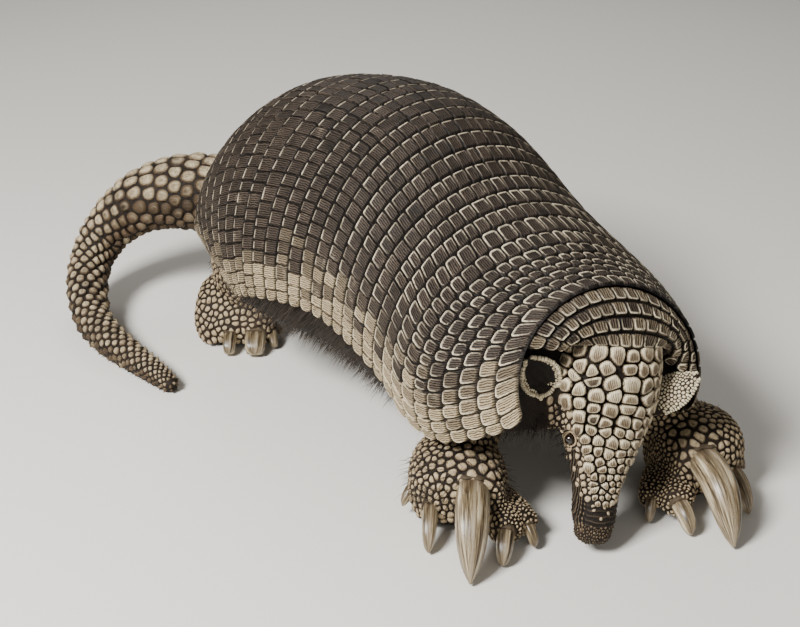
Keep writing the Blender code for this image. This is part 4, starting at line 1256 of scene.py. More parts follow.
def ear_granules():
    """Small pale granules on the ears, and larger beads along their rims and round their roots."""
    rng = np.random.default_rng(41)
    hide = skin_tree()
    horn = horn_over_bone("ear_granule_horn", "#4a3c2e", "#9b8a6d", "#dccfb0", PALE_HORN, 1.4, 0.58, 0.3)
    for side, word in BOTH_SIDES:
        granules = Gathered()
        _, along, across, facing = ear_frame(side)
        for face, (low, high), size in GRANULES:
            a = rng.uniform(-0.10, 0.95, GRANULE_TRIES)
            b = rng.uniform(low, high, GRANULE_TRIES) * rng.choice((-1, 1), GRANULE_TRIES)
            b = np.where((face > 0) & (a < 0.03), rng.uniform(-0.9, 0.9, GRANULE_TRIES), b)
            places = ear_point(side, a, b, face * leaf_half(b))
            ways = np.cross(
                ear_point(side, a + 0.02, b, 0.0) - ear_point(side, a - 0.02, b, 0.0),
                ear_point(side, a, b + 0.02, 0.0) - ear_point(side, a, b - 0.02, 0.0),
            )
            ways = unit(ways) * (np.sign(ways @ facing) * face)[:, None]
            grid = np.meshgrid(np.linspace(-0.1, 1.0, 40), np.linspace(-1.0, 1.0, 40), indexing="ij")
            tree = grid_tree(ear_point(side, *grid, face * leaf_half(grid[1])))
            order = kept_apart(places, np.full(len(places), size))
            granules.join(fitted_plates(
                places[order], ways[order], np.broadcast_to(along, (len(order), 3)),
                np.full(len(order), size), tree, EAR_PROFILE, 0.5 * MM, 9, rng,
                full_size=0.0045, brightness=0.36,
            ))
        for b in (-1.0, 1.0):
            a = np.linspace(-0.06, 0.985, EDGE_BEADS) + rng.normal(0.0, 0.006, EDGE_BEADS)
            places = ear_point(side, a, b * 0.98, BEADS_LIFT)
            places = places + across * rng.normal(0.0, 0.25 * MM, (EDGE_BEADS, 1))
            lies = unit(ear_point(side, a + 0.02, b, 0.0) - ear_point(side, a - 0.02, b, 0.0))
            ways = unit(np.cross(lies, facing))
            ways *= np.sign(ways @ across)[:, None] * b
            ways = unit(ways + EAR_ROLL[side] * facing)
            granules.join(beads(places, ways, lies, BEAD_SIZE * rng.uniform(0.8, 1.15, EDGE_BEADS), rng))
        ends = ear_point(side, 0.0, np.array((-0.98, 0.98)), BEADS_LIFT)
        share = np.linspace(0.06, 0.94, ROOT_BEADS)[:, None]
        bowed = ends[0] + (ends[1] - ends[0]) * share - along * ROOT_SAG * np.sin(math.pi * share)
        places, ways = snapped(hide, bowed)
        granules.join(beads(
            places, unit(ways + facing), np.broadcast_to(across, places.shape),
            BEAD_SIZE * rng.uniform(0.85, 1.15, ROOT_BEADS), rng,
        ))
        granules.made(f"ear_{word}_granules", horn, "skin")


# ---------------------------------------------------------------- bristles
def body_place(points):
    """Where each point lies on the trunk: s along it and the angle round its middle."""
    local = points - SHIFT
    radius = 1.0 / BODY_BEND
    bend = np.arctan2(local[:, 1], local[:, 0] + radius)
    side = np.hypot(local[:, 0] + radius, local[:, 1]) - radius
    s = np.interp(bend * radius, TRUNK_Y, TRUNK_S)
    return s, np.arctan2(side, local[:, 2] - trunk_z(s))


def coat_patch(points):
    """The middle of each bristle's patch on an unwrap of the skin: trunk below, a leg in each box above."""
    s, angle = body_place(points)
    flat = np.stack((0.02 + 0.96 * s, 0.02 + 0.46 * (angle / (2 * math.pi) + 0.5)), 1)
    for index, foot in enumerate(LEGS):
        offset = off_leg(foot, points)
        near = (np.linalg.norm(offset, axis=1) < 0.070) & (points[:, 2] < FLOOR + 0.13)
        turn = np.arctan2(offset[:, 1], offset[:, 0]) / (2 * math.pi) + 0.5
        box = np.stack((0.25 * index + 0.01 + 0.23 * turn, 0.52 + 0.46 * points[:, 2] / 0.13), 1)
        flat = np.where(near[:, None], box, flat)
    return flat


def bristle_hair():
    """Coarse bristle: round, dull brown hair with a paler worn tip, so fringes catch a little light."""
    made, tree, shader = surface("bristle_hair", 0.55, 0.35)
    tip = add(tree, "Attribute", attribute_name="tone").outputs["Fac"]
    colour = add(
        tree, "ValToRGB", {"Fac": tip}, [(0.0, "#15100c"), (0.6, "#33281e"), (1.0, "#6f5e48")]
    ).outputs["Color"]
    tree.links.new(colour, shader.inputs["Base Color"])
    return made


TAIL_LOOKUP = tail_centre(np.linspace(0.03, 1.0, 24)) + SHIFT
BRISTLES, TRIES = 9000, 60000
BRISTLE_STEPS = ((0.0, 1.0), (0.35, 0.80), (0.70, 0.45), (1.0, 0.0))  # place along it, width there
BRISTLE_WIDTH, BRISTLE_ROOT = 0.42 * MM, 0.8 * MM
TRUNK_BRISTLE, LEG_BRISTLE = 0.020, 0.011


def bristles():
    """Sparse coarse bristles under the shell's margin, on belly, throat and upper legs."""
    rng = np.random.default_rng(5)
    low, high = np.array(CAD_BOX[0]), np.array(CAD_BOX[1])
    high[2] = FLOOR + 0.17
    places, ways = skin_samples(TRIES, rng, low, high)
    s, angle = body_place(places)
    below = np.abs(angle) - cover(s)
    on_tail_skin = np.array([min((p - c) @ (p - c) for c in TAIL_LOOKUP) for p in places]) < 0.062**2
    high_enough = places[:, 2] > FLOOR + 0.045
    trunk_part = (below > -0.10) & (s > 0.02) & (s < 0.985) & high_enough & ~on_tail_skin
    on_snout = (from_head(places)[0] > 0.03) & (places[:, 1] < SHIFT[1] - 0.30)
    legs = np.zeros(len(places), bool)
    for foot in LEGS:
        legs |= (np.linalg.norm(off_leg(foot, places), axis=1) < 0.068) & (places[:, 2] < FLOOR + 0.115)
    keep = trunk_part & ~on_snout
    keep &= ~legs | (rng.uniform(size=len(places)) < 0.35)
    keep &= ~legs | (places[:, 2] > FLOOR + 0.060)
    places, ways, legs = (each[keep][:BRISTLES] for each in (places, ways, legs))
    count = len(places)
    ways = unit(ways)
    backwards = np.array((0.0, 1.0, 0.0)) + rng.normal(0.0, 0.25, (count, 3))
    lie = 0.75 * backwards + np.array((0.0, 0.0, -0.65))
    lie -= ways * np.einsum("ij,ij->i", lie, ways)[:, None]
    lie = unit(lie)
    stand = rng.uniform(0.20, 0.62, count)[:, None]
    length = np.where(legs, LEG_BRISTLE, TRUNK_BRISTLE) * rng.uniform(0.6, 1.35, count)
    start = unit(lie * (1 - stand) + ways * stand)
    side = unit(np.cross(start, ways))
    patch = coat_patch(places)
    points, flat, tone = [], [], []
    for t, width in BRISTLE_STEPS:
        centre = places - ways * BRISTLE_ROOT + start * (length * t)[:, None]
        centre = centre + np.array((0.0, 0.0, -0.28)) * (length * t * t)[:, None]
        centre[:, 2] = np.maximum(centre[:, 2], FLOOR + 0.001)
        for k in range(3 if width else 1):
            turn = 2 * math.pi * k / 3
            out = side * math.cos(turn) + ways * math.sin(turn)
            points.append(centre + out * (width * BRISTLE_WIDTH))
            flat.append(patch + np.array((0.0014 * math.cos(turn), 0.0028 * t - 0.0014)))
            tone.append(np.full(count, 0.15 + 0.8 * t * t))
    points, flat, tone = np.stack(points, 1), np.stack(flat, 1), np.stack(tone, 1)
    own = [(2, 1, 0), *ring_faces(3, 3), *((6 + k, 6 + (k + 1) % 3, 9) for k in range(3))]
    faces = [tuple(v + 10 * i for v in face) for i in range(count) for face in own]
    made = piece("bristles", points.reshape(-1, 3), faces, bristle_hair(), "skin", tone=tone.ravel())
    unwrap(made.data, "OFBake", flat.reshape(-1, 2))


# ---------------------------------------------------------------- claws and eyes
# The claws' width from root to tip, as a share of each one's own.
DIGGING_CLAW = through((0.0, 0.15, 0.40, 0.60, 0.78, 0.90, 1.0), (0.84, 0.97, 1.0, 0.93, 0.72, 0.45, 0.08))
SIDE_CLAW = through((0.0, 0.30, 0.60, 0.82, 0.94, 1.0), (0.96, 1.0, 0.93, 0.74, 0.45, 0.12))
HIND_NAIL = through((0.0, 0.30, 0.65, 0.88, 0.97, 1.0), (0.94, 1.0, 0.97, 0.84, 0.62, 0.30))


DIGGING = 3  # the forefoot's great claw
BROAD = 0.02  # a claw wider than this is drawn with more points and ribs
KEEL_AT, KEEL_HEIGHT, KEEL_WIDTH, RIB_HEIGHT = 0.62, 0.17, 0.28, 0.010
FOLD_AROUND, FOLD_RING = 40, 10


class Claw:
    """One claw's horn: arched above with a keel on its outer side, hollowed below."""

    def __init__(self, foot, number, row):
        origin, ahead, outwards = foot_axes(foot)
        (root, tip, self.width, self.depth, self.bow, _, _), side = row, FEET[foot][2]
        ends = [origin + ahead * a + outwards * o + np.array((0.0, 0.0, h)) for a, o, h in (root, tip)]
        self.root, self.chord = ends[0], ends[1] - ends[0]
        self.length = float(np.linalg.norm(self.chord))
        self.along = self.chord / self.length
        self.across = unit(np.cross(self.along, (0.0, 0.0, 1.0)))
        self.up = np.cross(self.across, self.along)
        self.keel = -KEEL_AT * side
        fore = foot.startswith("fore")
        self.profile = DIGGING_CLAW if fore and number == DIGGING else SIDE_CLAW if fore else HIND_NAIL
        self.flat = 0.80 if fore else 0.62
        self.ribs = 15 if self.width > BROAD else 9

    def at(self, t, angle, grow):
        """The horn's surface: angle is 0 on top, grow lifts off it."""
        t, angle = np.broadcast_arrays(np.asarray(t, float), np.asarray(angle, float))
        inner = np.clip(t, 0.0, 1.0)
        taper = self.profile(inner)
        off_keel = (angle - self.keel + math.pi) % (2 * math.pi) - math.pi
        ridge = 1.0 + KEEL_HEIGHT * np.exp(-((off_keel / KEEL_WIDTH) ** 2)) * (1.0 - 0.6 * inner)
        ribs = 1.0 + RIB_HEIGHT * np.cos(self.ribs * angle) * (1.0 - 0.8 * inner)
        half = (self.width / 2 * taper * ridge * ribs + grow) * power(np.sin(angle), self.flat)
        rise = self.depth / 2 * (0.25 + 0.75 * taper) * ridge * ribs + grow
        hollow = np.where(np.cos(angle) < 0, 0.55 + 0.30 * np.abs(np.sin(angle)), 1.0)
        rise = rise * np.cos(angle) * hollow * np.sqrt(np.clip((1.03 - t) / 0.12, 0.0, 1.0))
        bowed = self.bow * self.length * np.sin(math.pi * inner)
        point = self.root + self.chord * t[..., None] + self.across * half[..., None]
        point = point + self.up * (bowed + rise)[..., None]
        point[..., 2] = np.maximum(point[..., 2], FLOOR + 0.0002)
        return point

    def holds(self, points, clear):
        """Whether each point lies in or near the horn outside the toe."""
        t = (points - self.root) @ self.along / self.length
        bowed = self.bow * self.length * np.sin(math.pi * np.clip(t, 0.0, 1.0))
        offset = points - self.root - self.chord * t[:, None] - self.up * bowed[:, None]
        away = np.hypot(
            offset @ self.across / (self.width / 2 + clear), offset @ self.up / (self.depth / 2 + clear)
        )
        return (t > 0.02) & (t < 1.1) & (away < 1.0)


CLAW_ROWS = {foot: FORE_CLAWS if "fore" in foot else HIND_CLAWS for foot in FEET}
CLAWS = {foot: [Claw(foot, n, row) for n, row in enumerate(rows, 1)] for foot, rows in CLAW_ROWS.items()}


def claws():
    """All the claws, each with a fold of hide round its root."""
    horn, hide = worn_claw_horn(), bpy.data.materials["creased_hide"]
    for foot, row in CLAWS.items():
        kind, side = foot.split("_")
        for number, one in enumerate(row, 1):
            around = 48 if one.width > BROAD else 32
            t = np.concatenate((np.linspace(-0.10, 0.86, 26), (0.90, 0.94, 0.97, 0.985, 0.995, 1.0)))
            t, angle = np.meshgrid(t, circle(around), indexing="ij")
            points, faces = closed_tube(one.at(t, angle, 0.0))
            lay = np.stack((angle * one.width / 2, t * one.length), -1).reshape(-1, 2)
            # Painted shade: the horn darkens towards its root, under the fold of hide.
            tone = 0.85 * (1.0 - smooth(t / 0.24)).ravel()
            piece(
                f"{kind}_{side}_claw_{number}", points, faces, horn, "claw_horn",
                [f"{kind}claw_{side}_{number}"], lay, tone=tone,
            )
        folds = Gathered()
        for one in row:
            turn, ring = circle(FOLD_AROUND)[:, None], circle(FOLD_RING)[None, :]
            thick = (0.9 * MM + 0.07 * one.width) * (0.75 + 0.25 * np.cos(turn))
            back = 0.01 + 0.10 * (1.0 - np.cos(turn)) / 2 + 0.02 * np.sin(turn * 5.0) ** 2
            t = back + thick * np.cos(ring) * 1.5 / one.length
            points = one.at(t, turn + 0 * ring, 0.4 * MM + thick * np.sin(ring)).reshape(-1, 3)
            faces = ring_faces(FOLD_AROUND, FOLD_RING, inside_out=True, endless=True)
            folds.take(points, faces, np.zeros((len(points), 2)), fold=0.5, cheek=0.0, muzzle=0.0)
        folds.made(f"{foot}_claw_folds", hide, "skin")


def eyes():
    """Both eyeballs, round under their lids."""
    wet = wet_dark_eye()
    for hand, word in BOTH_SIDES:
        ball = bmesh.new()
        bmesh.ops.create_uvsphere(ball, u_segments=32, v_segments=20, radius=EYE_RADIUS)
        points = np.array([v.co for v in ball.verts]) + eye_middle(hand)
        faces = [[v.index for v in f.verts] for f in ball.faces]
        ball.free()
        piece(f"eyeball_{word}", points, faces, wet, "eye", [f"eye_{word}"])


# ---------------------------------------------------------------- the skin
FLESH = (
    "head", "neck", "trunk", "tail_root", "tail_middle", "tail_tip",
    "foreleg_left", "foreleg_right", "hindleg_left", "hindleg_right",
    "forefoot_left", "forefoot_right", "hindfoot_left", "hindfoot_right",
)
VOXEL = 2.5 * MM
EYE_FINE, SNOUT_FINE = 15.0 * MM, 55.0 * MM  # how far round eyes and snout the mesh is finer
HIDDEN_CUT = 0.90  # how much of the mesh under the shell is taken out
COAT_DEPTH = 0.9 * MM  # the skin lies this far inside the solids
SHELL_UNDER = 5.3 * MM  # the flesh under the shell lies this far inside its face


def path_tube(path, radii, stations, around=40, floor=None):
    """A tube square to a smooth path, cut flat where it would reach below the floor."""
    places = np.linspace(0.0, 1.0, len(path))
    centre, radius = through(places, path), through(places, radii)
    t = np.asarray(stations, float)[:, None]
    along = unit(centre(np.minimum(t + 0.01, 1.0)) - centre(np.maximum(t - 0.01, 0.0)))
    across = unit(np.cross(along, (0.0, 0.0, 1.0)))
    up = np.cross(across, along)
    turn = (np.arange(around) * 2 * math.pi / around)[None, :, None]
    rings = centre(t) + radius(t)[..., None] * (across * np.sin(turn) + up * np.cos(turn))
    if floor is not None:
        rings[..., 2] = np.maximum(rings[..., 2], floor)
    return rings


SNOUT_SWELL = through(
    (-0.020, 0.140, 0.162, 0.176, 0.184, 0.192, 0.210), (1.0, 1.0, 1.06, 1.14, 1.36, 1.74, 1.70)
)


SNOUT_END = 0.198  # from here on the snout closes in a dome


def head_flesh():
    """The head from inside the neck to the rounded end of the snout."""
    u = np.concatenate((
        np.linspace(-0.020, SNOUT_END, 76), SNOUT_END + 0.0115 * np.sin(np.linspace(0.15, 1.5, 9))
    ))
    end = np.sqrt(np.clip(1.0 - ((u - SNOUT_END) / 0.0118).clip(0.0, 1.0) ** 2, 0.05, 1.0))
    end = end * SNOUT_SWELL(u) * (1.0 - 0.15 * (1.0 - smooth((u + 0.006) / 0.018)))
    u, angle = np.meshgrid(u, circle(64), indexing="ij")
    full = on_head(u, angle, np.zeros(u.shape))
    middle = full.mean(axis=1, keepdims=True)
    return middle + (full - middle) * end[:, None, None]


def trunk_flesh():
    """The body under the shell and the belly between the shell's margins."""
    s = np.linspace(0.04, 1.0, 90)[:, None]
    around, belly = 60, 20
    width, height = half_width(s) - SHELL_UNDER, back_height(s) - SHELL_UNDER
    rim_side, rim_height = width * np.sin(cover(s)), height * np.cos(cover(s))
    angle = np.linspace(-1.0, 1.0, around)[None, :] * cover(s)
    shell = hoop_point(s + 0 * angle, width * np.sin(angle), height * np.cos(angle))
    turn = math.pi * np.arange(1, belly)[None, :] / belly
    depth = (belly_drop(s) - SHELL_UNDER + rim_height) * np.abs(np.sin(turn)) ** 0.8
    under = hoop_point(s + 0 * turn, rim_side * np.cos(turn), rim_height - depth)
    rings = np.concatenate((shell, under), axis=1)
    middle = rings[-1].mean(axis=0)
    backwards = unit(middle - rings[-6].mean(axis=0))
    return np.concatenate((rings, (middle + 0.012 * backwards + 0.6 * (rings[-1] - middle))[None]))


def foot_flesh(name):
    """The foot's body with a flat sole, and a tube for each toe."""
    origin, ahead, outwards = foot_axes(name)
    rows = np.array(FORE_SOLE if "fore" in name else HIND_SOLE)
    sole = through(np.linspace(0, 1, len(rows)), rows)(np.linspace(0, 1, 30))
    place, out, width, high, lift = sole.T[:, :, None]
    turn = (np.arange(48) * 2 * math.pi / 48)[None, :]
    side = width * power(np.sin(turn), 0.8)
    low = lift - 0.008
    rise = low + (high - low) * (0.5 + 0.5 * power(np.cos(turn), 0.75))
    rise = np.maximum(rise, lift)[..., None] * (0.0, 0.0, 1.0)
    rings = [origin + ahead * place[..., None] + outwards * (out + side)[..., None] + rise]
    for root, _, _, _, _, toe, radius in CLAW_ROWS[name]:
        if toe is None:
            continue
        start = origin + ahead * toe[0] + outwards * toe[1] + (0.0, 0.0, 0.026)
        end = origin + ahead * root[0] + outwards * root[1] + (0.0, 0.0, root[2])
        path = (start, start * 0.4 + end * 0.6, end * 1.12 - start * 0.12)
        radii = (radius, radius * 0.94, radius * 0.72)
        rings.append(path_tube(path, radii, np.linspace(0.0, 1.0, 16), 32, FLOOR + 0.0015))
    return rings


def all_flesh():
    """Every part of the flesh as overlapping closed tubes."""
    tubes = [head_flesh(), trunk_flesh()]
    t = np.concatenate((np.linspace(0.0, 0.985, 130), (0.993, 1.0)))
    t, angle = np.meshgrid(t, circle(48), indexing="ij")
    grown = on_tail(t, angle, np.zeros(t.shape))
    tubes.append(grown)
    ahead = unit(tail_centre(1.0) - tail_centre(0.985))
    tip = grown[-1].mean(axis=0)
    tubes.append(tip + np.array([[0.0], [0.004], [0.006]])[:, :, None] * ahead
                 + np.array([[1.0], [0.80], [0.5]])[:, :, None] * (grown[-1] - tip)[None])
    for name, (path, radii) in LEGS.items():
        tubes.append(path_tube(np.array(path) + SHIFT, radii, np.linspace(0.0, 1.0, 30), 48))
        tubes += foot_flesh(name)
    nape_t, share = np.meshgrid(np.linspace(0.03, 0.80, 12), np.linspace(-0.72, 0.95, 30), indexing="ij")
    collar = on_nape(nape_t, share, np.full(share.shape, -6.5 * MM))
    back, front = hoop_point(0.0, 0.0, 0.02), head_place(0.03, 0.0, -0.045)
    inner = back + (front - back) * np.linspace(0.0, 1.0, 12)[:, None]
    inner = inner[:, None] + (collar[:, ::-3] - inner[:, None]) * 0.35
    tubes.append(np.concatenate((collar, inner), axis=1))
    return tubes


def joined(bodies):
    """Several bodies given as (points, faces), as one."""
    points, faces, count = [], [], 0
    for body_points, body_faces in bodies:
        points.append(np.asarray(body_points))
        faces += [tuple(v + count for v in face) for face in body_faces]
        count += len(body_points)
    return np.concatenate(points).tolist(), faces


def closed_bodies(name, tubes):
    """One object made of tubes through rings, each of them closed."""
    points, faces = joined([closed_tube(rings) for rings in tubes])
    mesh = bpy.data.meshes.new(name)
    mesh.from_pydata(points, [], faces)
    return placed_in_scene(name, mesh)


def finished(made):
    """The object's mesh with its modifiers applied. The object itself is removed."""
    bpy.context.view_layer.update()
    seen = bpy.context.evaluated_depsgraph_get()
    mesh = bpy.data.meshes.new_from_object(made.evaluated_get(seen))
    bpy.data.objects.remove(made)
    return mesh


def vectors(mesh, key="co"):
    """The mesh's vertex places or normals as an array."""
    flat = np.empty(len(mesh.vertices) * 3, np.float32)
    mesh.vertices.foreach_get(key, flat)
    return flat.reshape(-1, 3).astype(float)


def hidden_by_shell(points, normals):
    """Whether each place of the skin lies right under a plate of the shell."""
    bodies = []
    for name, node in frame["nodes"].items():
        if name.startswith(("back_band", "shoulder", "pelvic")):
            bodies.append((vectors(node.data), [tuple(face.vertices) for face in node.data.polygons]))
    tree = BVHTree.FromPolygons(*joined(bodies))
    hidden = np.zeros(len(points), bool)
    for i, (point, normal) in enumerate(zip(points, normals)):
        hidden[i] = tree.ray_cast(Vector(point), Vector(normal), 0.018)[0] is not None
    return hidden


def on_face(points):
    """Whether each point belongs to the head's skin in front of the neck."""
    u, side, rise = from_head(points)
    return (u > 0.02) & (np.abs(side) < 0.07) & (np.abs(rise) < 0.10) & (points[:, 2] < 0.24)


NOSTRIL_U, NOSTRIL_SIDE, NOSTRIL_RISE = 0.2040, 0.0085, 0.0060
CHEEK_WRINKLE, SNOUT_WRINKLE, JOWL_FOLD, MOUTH_DEPTH = 0.50 * MM, 0.45 * MM, 0.9 * MM, 1.3 * MM
SNOUT_WRINKLES_APART, JOWL_FOLDS_APART = 0.0052, 0.0145


def face_detail(points, normals):
    """Moves the skin of the head: wrinkled snout, nostrils, mouth, lids and the folds round them."""
    u, side, rise = from_head(points)
    middle = head_crown(u) - head_depth(u) / 2
    angle = np.arctan2(side, rise - middle)
    wobble = 0.9 * np.sin(u * 310.0 + 2.0 * side * 140.0) + 0.7 * np.sin(u * 170.0 - angle * 5.0)
    cheek = smooth((np.abs(angle) - 0.75) / 0.35) * smooth((u - 0.075) / 0.03) * smooth((0.190 - u) / 0.012)
    lengthwise = np.sin(np.abs(angle) * 19.0 + wobble) * CHEEK_WRINKLE * cheek
    muzzle = smooth((u - 0.158) / 0.010) * smooth((0.187 - u) / 0.006)
    crosswise = np.sin(u * 2 * math.pi / SNOUT_WRINKLES_APART + 0.8 * np.sin(side * 420.0))
    crosswise *= SNOUT_WRINKLE * muzzle
    jowl = smooth((np.abs(angle) - 1.3) / 0.5) * smooth((0.11 - u) / 0.04)
    sagging = np.sin(u * 2 * math.pi / JOWL_FOLDS_APART + np.abs(angle) * 2.0 + 0.6 * wobble)
    sagging *= JOWL_FOLD * jowl
    lip = np.abs(np.abs(angle) - (2.02 + 5.0 * (u - 0.16)))
    mouth = np.exp(-((lip * head_width(u) / (0.9 * MM)) ** 2)) * smooth((u - 0.118) / 0.02)
    mouth *= -MOUTH_DEPTH
    moved = points + normals * (on_face(points) * (lengthwise + crosswise + sagging + mouth))[:, None]
    snout_middle = float(head_crown(0.19) - head_depth(0.19) / 2)
    for hand in (1, -1):
        nostril = head_place(NOSTRIL_U, hand * NOSTRIL_SIDE, snout_middle + NOSTRIL_RISE)
        away = np.linalg.norm(points - nostril, axis=1)
        moved -= normals * (2.6 * MM * np.exp(-((away / (1.9 * MM)) ** 2)))[:, None]
        moved += normals * (0.9 * MM * np.exp(-(((away - 3.6 * MM) / (1.3 * MM)) ** 2)))[:, None]
        moved = lids(moved, hand)
    return moved


LID_REACH, LID_BACK = 13.0 * MM, -6.0 * MM  # how far the lids reach, from the eyeball's middle
LID_THICK, LID_RIPPLE, LID_RIPPLES_APART = 0.6 * MM, 0.60 * MM, 3.0 * MM
SLIT_HALF_LENGTH, SLIT_HALF_HEIGHT, SLIT_MIDDLE = 6.6 * MM, 5.0 * MM, -0.7 * MM
EYE_AXIS_LEAN = 1.05  # how much the eyes look up as well as sideways


def eye_axes(hand):
    """The way the eye looks, along the slit and across it."""
    look = unit(TO_LEFT * hand + TO_FOREHEAD * EYE_AXIS_LEAN + TO_NOSE * 0.05)
    along = unit(TO_NOSE - look * TO_NOSE.dot(look))
    return look, along, np.cross(look, along) * hand


def lid_place(points, hand):
    """Each point's place along the slit, across it, towards the look and away from the middle."""
    offset = points - eye_middle(hand)
    x, y, z = (offset @ axis for axis in np.array(eye_axes(hand))[[1, 2, 0]])
    return x, y, z, np.hypot(x, y)


def lid_ripple(spread):
    """The rings of folds round the lids, 1 on a crest and -1 in a furrow."""
    waves = np.cos((spread - 7.6 * MM) * 2 * math.pi / LID_RIPPLES_APART)
    return waves * smooth((spread - 4.8 * MM) / (1.5 * MM))


def lid_opening(x, y):
    """How far each place lies inside the almond slit between the lids."""
    half = SLIT_HALF_HEIGHT * np.clip(1.0 - (x / SLIT_HALF_LENGTH) ** 2, 0.0, 1.0) ** 0.6
    return half - np.abs(y - SLIT_MIDDLE)


def lids(points, hand):
    """Lids drawn over the eyeball with an almond slit, and ringed folds round them."""
    x, y, z, spread = lid_place(points, hand)
    near = (spread < LID_REACH) & (z > LID_BACK)
    ball = np.sqrt(np.clip(EYE_RADIUS**2 - spread**2, 0.0, None))
    lid = np.sqrt(np.clip((EYE_RADIUS + LID_THICK) ** 2 - spread**2, 0.0, None))
    hold = smooth((LID_REACH - spread) / (6.0 * MM))
    base = z * (1.0 - hold) + np.clip(z, 0.4 * MM, 2.6 * MM) * hold
    height = np.maximum(base, lid) + LID_RIPPLE * lid_ripple(spread) * hold
    open_by = lid_opening(x, y)
    height += 0.45 * MM * np.exp(-(((open_by + 0.8 * MM) / (0.6 * MM)) ** 2)) * (spread < 7.0 * MM)
    height = np.where(open_by > 0.0, np.minimum(height, ball - 2.4 * MM), height)
    look, along, across = eye_axes(hand)
    placed = eye_middle(hand) + along * x[:, None] + across * y[:, None] + look * height[:, None]
    return np.where(near[:, None], placed, points)


def skin_layers(points):
    """The number layers of the hide: folds round eyes and in ears, and where the snout wrinkles; low fold
    values paint shade into the eye slits and the ears' cups.
    """
    u, side, rise = from_head(points)
    angle = np.arctan2(side, rise - head_crown(u) + head_depth(u) / 2)
    away = np.abs(angle)
    cheek = smooth((away - 0.70) / 0.25) * smooth((u - 0.100) / 0.02) * smooth((0.200 - u) / 0.012)
    muzzle = smooth((u - 0.157) / 0.010) * smooth((0.192 - u) / 0.008) * smooth((1.3 - away) / 0.4)
    cheek, muzzle = cheek * on_face(points), muzzle * on_face(points)
    fold = np.zeros(len(points))
    for hand in (1, -1):
        x, y, z, spread = lid_place(points, hand)
        near = (spread < LID_REACH) & (z > LID_BACK)
        lid_edge = np.exp(-(((lid_opening(x, y) + 1.2 * MM) / (1.1 * MM)) ** 2))
        ring = lid_ripple(spread) * smooth((LID_REACH - spread) / (3.0 * MM)) + 2.4 * lid_edge
        # Painted shade: the skin inside the eye's slit gets the lowest fold value and goes near black.
        fold = np.where(near, np.where(lid_opening(x, y) > -0.1 * MM, -1.0, ring), fold)
        a, b, height = on_leaf(hand, points)
        inner = (a > -0.2) & (a < 0.9) & (np.abs(b) < 0.80) & (height > 0.0) & (height < 0.004)
        lines = 0.35 * np.sin(b * 17.0 + 2.0 * np.sin(a * 9.0))
        # Painted shade: the floor of the ear's cup gets a low fold value and goes dark.
        fold = np.where(inner, -0.55 + lines * smooth((np.abs(b) - 0.1) / 0.4), fold)
    lay = np.stack((angle * head_width(np.clip(u, 0.0, 0.18)), u), -1)
    return lay, {"fold": fold, "cheek": cheek, "muzzle": 0.55 * muzzle}


def on_leaf(side, points):
    """Each point's place along the ear, across it and above the floor of its cup."""
    base, along, across, facing = ear_frame(side)
    a, b = (points - base) @ along / EAR_LENGTH[side], (points - base) @ across / (EAR_WIDTH[side] / 2)
    cup = EAR_CUP[side] * EAR_WIDTH[side] * b * b * (1.0 - 0.6 * np.clip(a, 0.0, 1.0))
    return a, b, (points - base) @ facing + 0.005 - cup


def ear_frame(side):
    """The ear's root and the ways along it, across it and out of its cup."""
    base = head_place(EAR_U[side], side * EAR_SIDE[side], -EAR_DROP)
    along = -EAR_LIFT[side] * TO_NOSE + side * EAR_SPREAD[side] * TO_LEFT + EAR_AHEAD[side] * TO_FOREHEAD
    along = unit(along)
    turn = EAR_TURN[side]
    facing = math.cos(turn) * TO_FOREHEAD + side * math.sin(turn) * TO_LEFT
    facing = unit(facing - along * facing.dot(along))
    return base, along, np.cross(along, facing), facing


def ear_point(side, a, b, through_by):
    """The ear's leaf: a runs from root to tip, b across it, through_by from back to front."""
    base, along, across, facing = ear_frame(side)
    a, b, through_by = np.broadcast_arrays(a, b, through_by)
    reach = np.minimum(1.0, EAR_ROOT[side] + (1.0 - EAR_ROOT[side]) * np.maximum(a, 0.0))
    spread = 1.06 * EAR_WIDTH[side] / 2 * np.maximum(np.sin(math.pi * reach), 0.10) ** 0.70
    cup = EAR_CUP[side] * EAR_WIDTH[side] * b * b * (1.0 - 0.6 * np.maximum(a, 0.0))
    ripple = 0.5 * MM * np.sin(b * 16.0 + 3.0 * a) * (1.0 - b * b)
    lift = cup - 0.005 + through_by + ripple
    return (
        base + along * (a * EAR_LENGTH[side])[..., None] + across * (spread * b)[..., None]
        + facing * lift[..., None]
    )


def ear_flesh(side):
    """A cupped ear with a rolled rim, drawn as closed loops from root to tip."""
    turn, a = circle(56)[None, :], np.linspace(-0.14, 1.0, 44)[:, None]
    b = np.sin(turn) * 1.02
    thick = leaf_half(b) * np.sign(np.cos(turn))
    return ear_point(side, a + 0 * turn, b + 0 * a, thick + 0 * a)


